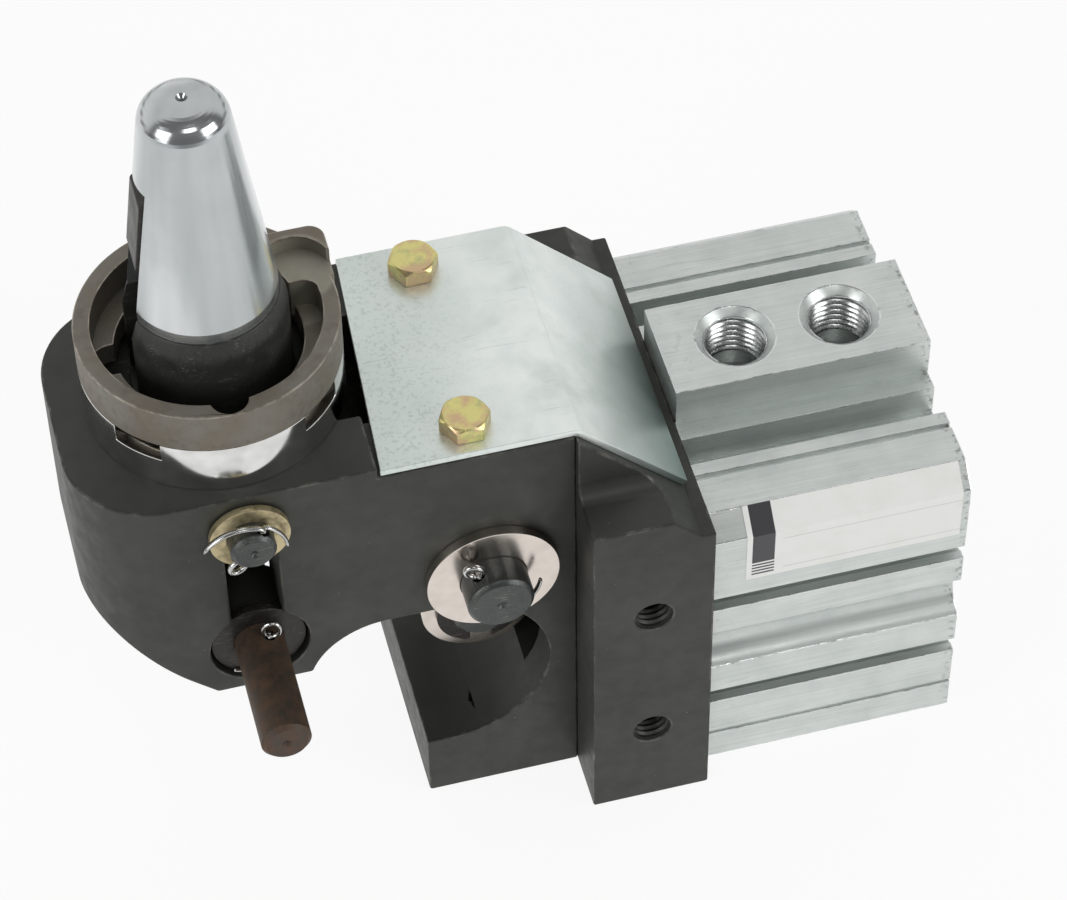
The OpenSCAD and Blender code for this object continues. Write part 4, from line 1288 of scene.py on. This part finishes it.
@dataclass(frozen=True)
class FoldedCover:
    """Cover of the lever slot: one sheet folded down 45 degrees on a brake."""

    node: str = "cover_plate"
    left_mm: float = -45.0
    fold_mm: float = -11.0
    seat_mm: float = 92.7
    thick_mm: float = 1.4
    flap_mm: float = 27.4
    half_mm: float = 24.8
    skew_mm: float = 3.5
    fold_deg: float = 45.0
    fold_r_mm: float = 1.2
    edge_mm: float = 0.22

    def section(self) -> list[Point]:
        """Draws the sheet's middle line, from the left edge to the flap's end.

        Returns:
            x and z in mm and the slope in radians, for each of its points.
        """
        slope = math.radians(self.fold_deg)
        middle = self.thick_mm / 2
        reach = (self.fold_r_mm + middle) * math.tan(slope / 2)
        corner = (self.fold_mm + middle * math.tan(slope / 2), self.seat_mm + middle)
        line = [(self.left_mm, corner[1], 0.0), (corner[0] - reach, corner[1], 0.0)]
        steps = 8
        radius = self.fold_r_mm + middle
        centre = (corner[0] - reach, corner[1] - radius)
        for i in range(1, steps):
            a = slope * i / steps
            line.append((centre[0] + radius * math.sin(a), centre[1] + radius * math.cos(a), a))
        for way in (reach, self.flap_mm):
            across, down = way * math.cos(slope), way * math.sin(slope)
            line.append((corner[0] + across, corner[1] - down, slope))
        return line

    def build(self) -> Any:
        """Builds the folded sheet with a real bend radius and lightly broken edges.

        Returns:
            The new object.
        """
        mesh = bmesh.new()
        rows = []
        for k, (x, z, slope) in enumerate(self.section()):
            row = []
            for side in (-1.0, 1.0):
                shift = self.skew_mm if k == 0 and side > 0 else 0.0
                for face in (0.5 * self.thick_mm, -0.5 * self.thick_mm):
                    out = (math.sin(slope) * face, math.cos(slope) * face)
                    corner = (mm(x + shift + out[0]), mm(side * self.half_mm), mm(z + out[1]))
                    row.append(mesh.verts.new(corner))
            rows.append(row)
        for a, b in zip(rows, rows[1:]):
            for i, j in ((0, 2), (2, 3), (3, 1), (1, 0)):
                mesh.faces.new((a[i], b[i], b[j], a[j]))
        mesh.faces.new((rows[0][0], rows[0][2], rows[0][3], rows[0][1]))
        mesh.faces.new((rows[-1][1], rows[-1][3], rows[-1][2], rows[-1][0]))
        bmesh.ops.recalc_face_normals(mesh, faces=mesh.faces)
        rims = [e for e in mesh.edges if e.calc_face_angle(0.0) > math.radians(60.0)]
        bmesh.ops.bevel(
            mesh,
            geom=rims,
            offset=mm(self.edge_mm),
            segments=2,
            profile=0.5,
            affect="EDGES",
            clamp_overlap=True,
        )
        piece = new_object(self.node + "_folded", mesh, [PAINT.finish(Finish.ZINC_SHEET)])
        shade(piece)
        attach(piece, body_of(frame["nodes"][self.node])[0])
        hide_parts(self.node)
        return piece


@dataclass
class Assembly:
    """A group of pieces that are built and reported together."""

    title: str
    machined: Sequence[MachinedPart] = ()
    painted: Sequence[tuple[str, Finish]] = ()

    def extras(self) -> list[Any]:
        """Builds what the CAD nodes alone don't show; a group without such pieces has none."""
        return []

    def build(self) -> None:
        """Builds every piece of the group and reports each."""
        for part in self.machined:
            LOG.info("%s: %s", self.title, part.build().name)
        for node, finish in self.painted:
            LOG.info("%s: %s", self.title, paint_node(node, finish).name)
        for piece in self.extras():
            LOG.info("%s: %s", self.title, piece.name)


@dataclass
class FlangeBlock(Assembly):
    """Flange block with its four tapped side holes."""

    title: str = "flange block"
    machined: Sequence[MachinedPart] = (
        MachinedPart("flange_block", Finish.BLACK_OXIDE, 0.45, WORN_BLACK),
    )
    painted: Sequence[tuple[str, Finish]] = (("body_screws", Finish.DARK_STEEL),)
    half_mm: float = 36.5
    holes: Sequence[tuple[str, float, float]] = (("upper", 53.5, 12.7), ("lower", 20.3, 14.7))
    bore_mm: float = 3.4
    # Coarse thread of an 8 mm screw
    pitch_mm: float = 1.25
    ridge_mm: float = 0.42

    def extras(self) -> list[Any]:
        """Builds the threads of the side holes.

        Returns:
            The four linings.
        """
        steel = PAINT.finish(Finish.BLACK_OXIDE)
        pieces = []
        for side, sign in (("front", -1.0), ("back", 1.0)):
            for level, z, depth in self.holes:
                name = f"{side}_{level}_thread"
                mouth = (0.0, sign * mm(self.half_mm), mm(z))
                inward = (0.0, -sign, 0.0)
                sizes = (self.bore_mm, depth, self.pitch_mm, self.ridge_mm)
                thread = CutThread(name, mouth, inward, *sizes)
                pieces.append(thread.build(steel, "frame", Finish.BLACK_OXIDE))
        return pieces


@dataclass
class ClampHead(Assembly):
    """Body block, cover plate and cover bolts."""

    title: str = "clamp head"
    machined: Sequence[MachinedPart] = (
        MachinedPart(
            "body_block",
            Finish.BLACK_OXIDE,
            0.45,
            WORN_BLACK,
            covered_seat=(-68.2, 0.0, 94.7, 21.0),
        ),
        MachinedPart("cover_bolts", Finish.YELLOW_ZINC, 0.25),
    )
    cover: FoldedCover = FoldedCover()

    def extras(self) -> list[Any]:
        """Builds the folded cover plate."""
        return [self.cover.build()]


@dataclass
class SeatStack(Assembly):
    """Collar, seat ring, base and locating pin."""

    title: str = "seat"
    machined: Sequence[MachinedPart] = (
        MachinedPart("collar_ring", Finish.COLLAR_CHROME, 0.2),
        MachinedPart("seat_ring", Finish.BROWN_STEEL, 0.28, RUBBED_BROWN, short_side_mm=0.3),
        MachinedPart("pin_base", Finish.DARK_TURNED, 0.3),
        MachinedPart("base_screws", Finish.DARK_STEEL, 0.15),
    )
    painted: Sequence[tuple[str, Finish]] = (
        ("locating_pin", Finish.HARD_CHROME),
        ("hook_cam_pin", Finish.BRIGHT_STEEL),
    )


@dataclass
class HookDrive(Assembly):
    """Hook, hook rod, cross pin and guide pin."""

    title: str = "hook drive"
    machined: Sequence[MachinedPart] = (
        MachinedPart("hook", Finish.DARK_STEEL, 0.3),
        MachinedPart("hook_rod", Finish.DARK_TURNED, 0.3),
        MachinedPart("cross_pin", Finish.DARK_PIN, 0.12),
        MachinedPart("cross_pin_washers", Finish.YELLOW_ZINC, 0.15, recipe=PlatedWasher()),
        MachinedPart("guide_pin_washers", Finish.DARK_STEEL, 0.15),
    )
    painted: Sequence[tuple[str, Finish]] = (
        ("guide_pin", Finish.RUSTY_PIN),
        ("hook_pivot_pin", Finish.BRIGHT_STEEL),
    )
    cross_end: Point = (-0.0682, 0.0284, 0.086)
    guide_end: Point = (-0.0682, 0.0264, 0.0543)

    def extras(self) -> list[Any]:
        """Builds the split pins of the cross pin and the guide pin.

        Returns:
            One piece for each pin.
        """
        cross_legs = ((112.0, 78.0), (3.6, 1.6))
        guide_legs = ((40.0, 35.0), (1.4, 1.2))
        return [
            build_split_pins("cross_pin_cotters", self.cross_end, 4.0, 59.0, cross_legs),
            build_split_pins("guide_pin_cotters", self.guide_end, 4.45, -110.0, guide_legs),
        ]


@dataclass
class LeverPivot(Assembly):
    """Lever with its bush, pivot pin and rod end."""

    title: str = "lever"
    machined: Sequence[MachinedPart] = (
        MachinedPart("lever", Finish.DARK_STEEL, 0.4, WORN_BLACK),
        MachinedPart("pivot_pin", Finish.DARK_PIN, 0.15),
        MachinedPart("pivot_washers", Finish.POLISHED, 0.2),
        MachinedPart("rod_end", Finish.DARK_STEEL, 0.3),
        MachinedPart("rod_pin_washers", Finish.POLISHED, 0.2),
    )
    painted: Sequence[tuple[str, Finish]] = (
        ("lever_bush", Finish.BRONZE),
        ("rod_end_pin", Finish.BRIGHT_STEEL),
        ("rod_pin", Finish.DARK_PIN),
        ("rod_pin_clips", Finish.DARK_STEEL),
    )
    pivot_end: Point = (-0.0265, 0.0294, 0.0615)

    def extras(self) -> list[Any]:
        """Builds the split pins of the pivot pin."""
        legs = ((62.0, 14.0), (1.0, 1.6))
        return [build_split_pins("pivot_cotters", self.pivot_end, 6.0, -57.0, legs)]


@dataclass
class AirCylinder(Assembly):
    """Barrel with its ports, covers, piston and label."""

    title: str = "air cylinder"
    machined: Sequence[MachinedPart] = (
        MachinedPart("barrel", Finish.ANODISED, 0.18, FILED_ALUMINIUM),
        MachinedPart("barrel_screws", Finish.DARK_STEEL, 0.2),
        MachinedPart("end_cover", Finish.ANODISED, 0.2),
        MachinedPart("retaining_ring", Finish.DARK_STEEL, 0.15),
    )
    painted: Sequence[tuple[str, Finish]] = (
        ("label", Finish.LABEL),
        ("front_cover", Finish.ANODISED),
        ("rod_bush", Finish.BRONZE),
        ("rod_seal", Finish.RUBBER),
        ("cover_seals", Finish.RUBBER),
        ("bumpers", Finish.RUBBER),
        ("piston_rod", Finish.HARD_CHROME),
        ("piston", Finish.ANODISED),
        ("piston_nut", Finish.DARK_STEEL),
        ("piston_seal", Finish.RUBBER),
        ("wear_ring", Finish.BRONZE),
    )
    port_x: Sequence[tuple[str, float]] = (("rod_side", 24.9), ("head_side", 44.2))
    rib_top_mm: float = 81.0
    bore_mm: float = 5.75
    thread_end_mm: float = 9.6
    # 19 turns an inch, as on a quarter inch pipe thread
    pitch_mm: float = 1.337
    ridge_mm: float = 0.52
    thread_start_mm: float = 1.5

    def extras(self) -> list[Any]:
        """Builds the pipe threads of the two ports.

        Returns:
            The two linings.
        """
        sizes = (
            self.bore_mm,
            self.thread_end_mm,
            self.pitch_mm,
            self.ridge_mm,
            self.thread_start_mm,
        )
        pieces = []
        for side, x in self.port_x:
            mouth = (mm(x), 0.0, mm(self.rib_top_mm))
            thread = CutThread(f"{side}_port_thread", mouth, (0.0, 0.0, -1.0), *sizes)
            pieces.append(thread.build(PAINT.get(CutAluminium()), "frame", Finish.ANODISED))
        return pieces


@dataclass
class Studio:
    """White table, soft lamps and the camera of a product photograph."""

    eye: Point = (-0.1200, -0.4388, 0.5947)
    azimuth: float = -13.902
    elevation: float = 49.682
    roll: float = -1.029
    lens_mm: float = 131.33
    sensor_mm: float = 36.0
    shift: Pair = (-0.00461, -0.00372)
    clip: Pair = (0.01, 50.0)
    table_side: float = 0.9
    table_gap: float = 0.00002
    glow: float = 0.9
    back_light: float = 0.85
    front_light: float = 0.12
    low_light: float = 0.3
    turn_of_light: Pair = (0.0, 0.22)
    table_rim: Pair = (-0.06, 0.04)
    lamps_face: Point = (-0.068, 0.0, 0.16)
    soft_boxes: Sequence[tuple[str, Point, Pair, float]] = (
        ("left soft box", (-1.25, -0.6, 0.62), (0.7, 0.9), 9.0),
        ("high soft box", (0.06, -0.9, 1.3), (0.6, 0.25), 2.4),
        ("right soft box", (1.1, -0.85, 0.62), (0.9, 0.8), 10.0),
    )

    def build(self) -> None:
        """Builds the table, the lights and the camera."""
        self.table()
        self.sky()
        self.lamps()
        self.camera()

    def table(self) -> None:
        """Builds the white table top, which shows white and keeps the part's shadow."""
        c = Canvas("white table paper")
        paper = c.add(Node.DIFFUSE, ("#f2f2f2",))
        glow = c.add(Node.GLOW, ("#ffffff", 1.0))
        seen = c.add(Node.RAYS, output="Is Camera Ray")
        for kind in ("Is Glossy Ray", "Is Transmission Ray"):
            seen = c.add(Node.MATH, (seen, c.add(Node.RAYS, output=kind)), operation="MAXIMUM")
        share = c.add(Node.MATH, (seen, self.glow), operation="MULTIPLY")
        c.add(Node.MATERIAL, (c.add(Node.MIX_SHADER, (share, paper, glow)),))
        mesh = bmesh.new()
        bmesh.ops.create_grid(mesh, x_segments=8, y_segments=8, size=self.table_side)
        bmesh.ops.translate(mesh, verts=mesh.verts, vec=(0.0, 0.0, -self.table_gap))
        table = new_object("table", mesh, [c.material])
        LOG.info("studio: %s", table.name)

    def sky(self) -> None:
        """Gives the room a bright back and a dim front; the camera itself sees it plain white."""
        world = bpy.data.worlds.new("white room")
        c = NodeTree(world)
        toward = c.add(Node.PLACE, output="Generated")
        back, up = (c.add(Node.SPLIT, (toward,), axis) for axis in "YZ")
        levels = (self.front_light, self.back_light)
        depth = c.add(
            Node.RANGE, (back, *self.turn_of_light, *levels), interpolation_type="SMOOTHSTEP"
        )
        # Below the table's rim the room is dim
        height = c.add(
            Node.RANGE, (up, *self.table_rim, self.low_light, 1.0), interpolation_type="SMOOTHSTEP"
        )
        light = c.add(Node.MATH, (depth, height), operation="MULTIPLY")
        room = c.add(Node.BACKGROUND, ("#ffffff", light))
        white = c.add(Node.BACKGROUND, ("#ffffff", 1.0))
        seen = c.add(Node.RAYS, output="Is Camera Ray")
        c.add(Node.WORLD, (c.add(Node.MIX_SHADER, (seen, room, white)),))
        bpy.context.scene.world = world

    def lamp(self, name: str, at: Point, size: Pair, power: float) -> Any:
        """Adds one soft lamp.

        Args:
            name: the lamp's name.
            at: its place.
            size: width and height of its cloth.
            power: watts.

        Returns:
            The lamp.
        """
        data = bpy.data.lights.new(name, "AREA")
        data.shape = "RECTANGLE"
        data.size, data.size_y = size
        data.energy = power
        lamp = bpy.data.objects.new(name, data)
        bpy.context.scene.collection.objects.link(lamp)
        lamp.location = at
        facing = Vector(self.lamps_face) - Vector(at)
        lamp.rotation_euler = facing.to_track_quat("-Z", "Y").to_euler()
        return lamp

    def lamps(self) -> None:
        """Adds the three soft boxes in front of the table."""
        for name, at, size, power in self.soft_boxes:
            LOG.info("studio: %s", self.lamp(name, at, size, power).name)

    def camera(self) -> None:
        """Adds the camera at the photograph's place and angle."""
        az, el, roll = (math.radians(a) for a in (self.azimuth, self.elevation, self.roll))
        right = Vector((math.cos(az), math.sin(az), 0.0))
        level = Vector((-math.sin(az), math.cos(az), 0.0))
        ahead = level * math.cos(el) - Vector((0.0, 0.0, math.sin(el)))
        above = right.cross(ahead)
        turned_right = math.cos(roll) * right + math.sin(roll) * above
        turned_above = -math.sin(roll) * right + math.cos(roll) * above
        data = bpy.data.cameras.new("camera")
        data.sensor_fit = "HORIZONTAL"
        data.sensor_width = self.sensor_mm
        data.lens = self.lens_mm
        data.shift_x, data.shift_y = self.shift
        data.clip_start, data.clip_end = self.clip
        camera = bpy.data.objects.new("camera", data)
        bpy.context.scene.collection.objects.link(camera)
        rotation = Matrix((turned_right, turned_above, -ahead)).transposed().to_4x4()
        camera.matrix_world = Matrix.Translation(Vector(self.eye)) @ rotation
        bpy.context.scene.camera = camera
        LOG.info("studio: %s", camera.name)


def main() -> None:
    """Builds the dressed part and its studio, and reports each piece."""
    logging.basicConfig(level=logging.INFO, format="%(name)s %(message)s")
    bpy.context.scene.view_settings.view_transform = "Standard"
    for group in (FlangeBlock, ClampHead, SeatStack, HookDrive, LeverPivot, AirCylinder):
        group().build()
    Studio().build()


if __name__ == "__main__":
    main()
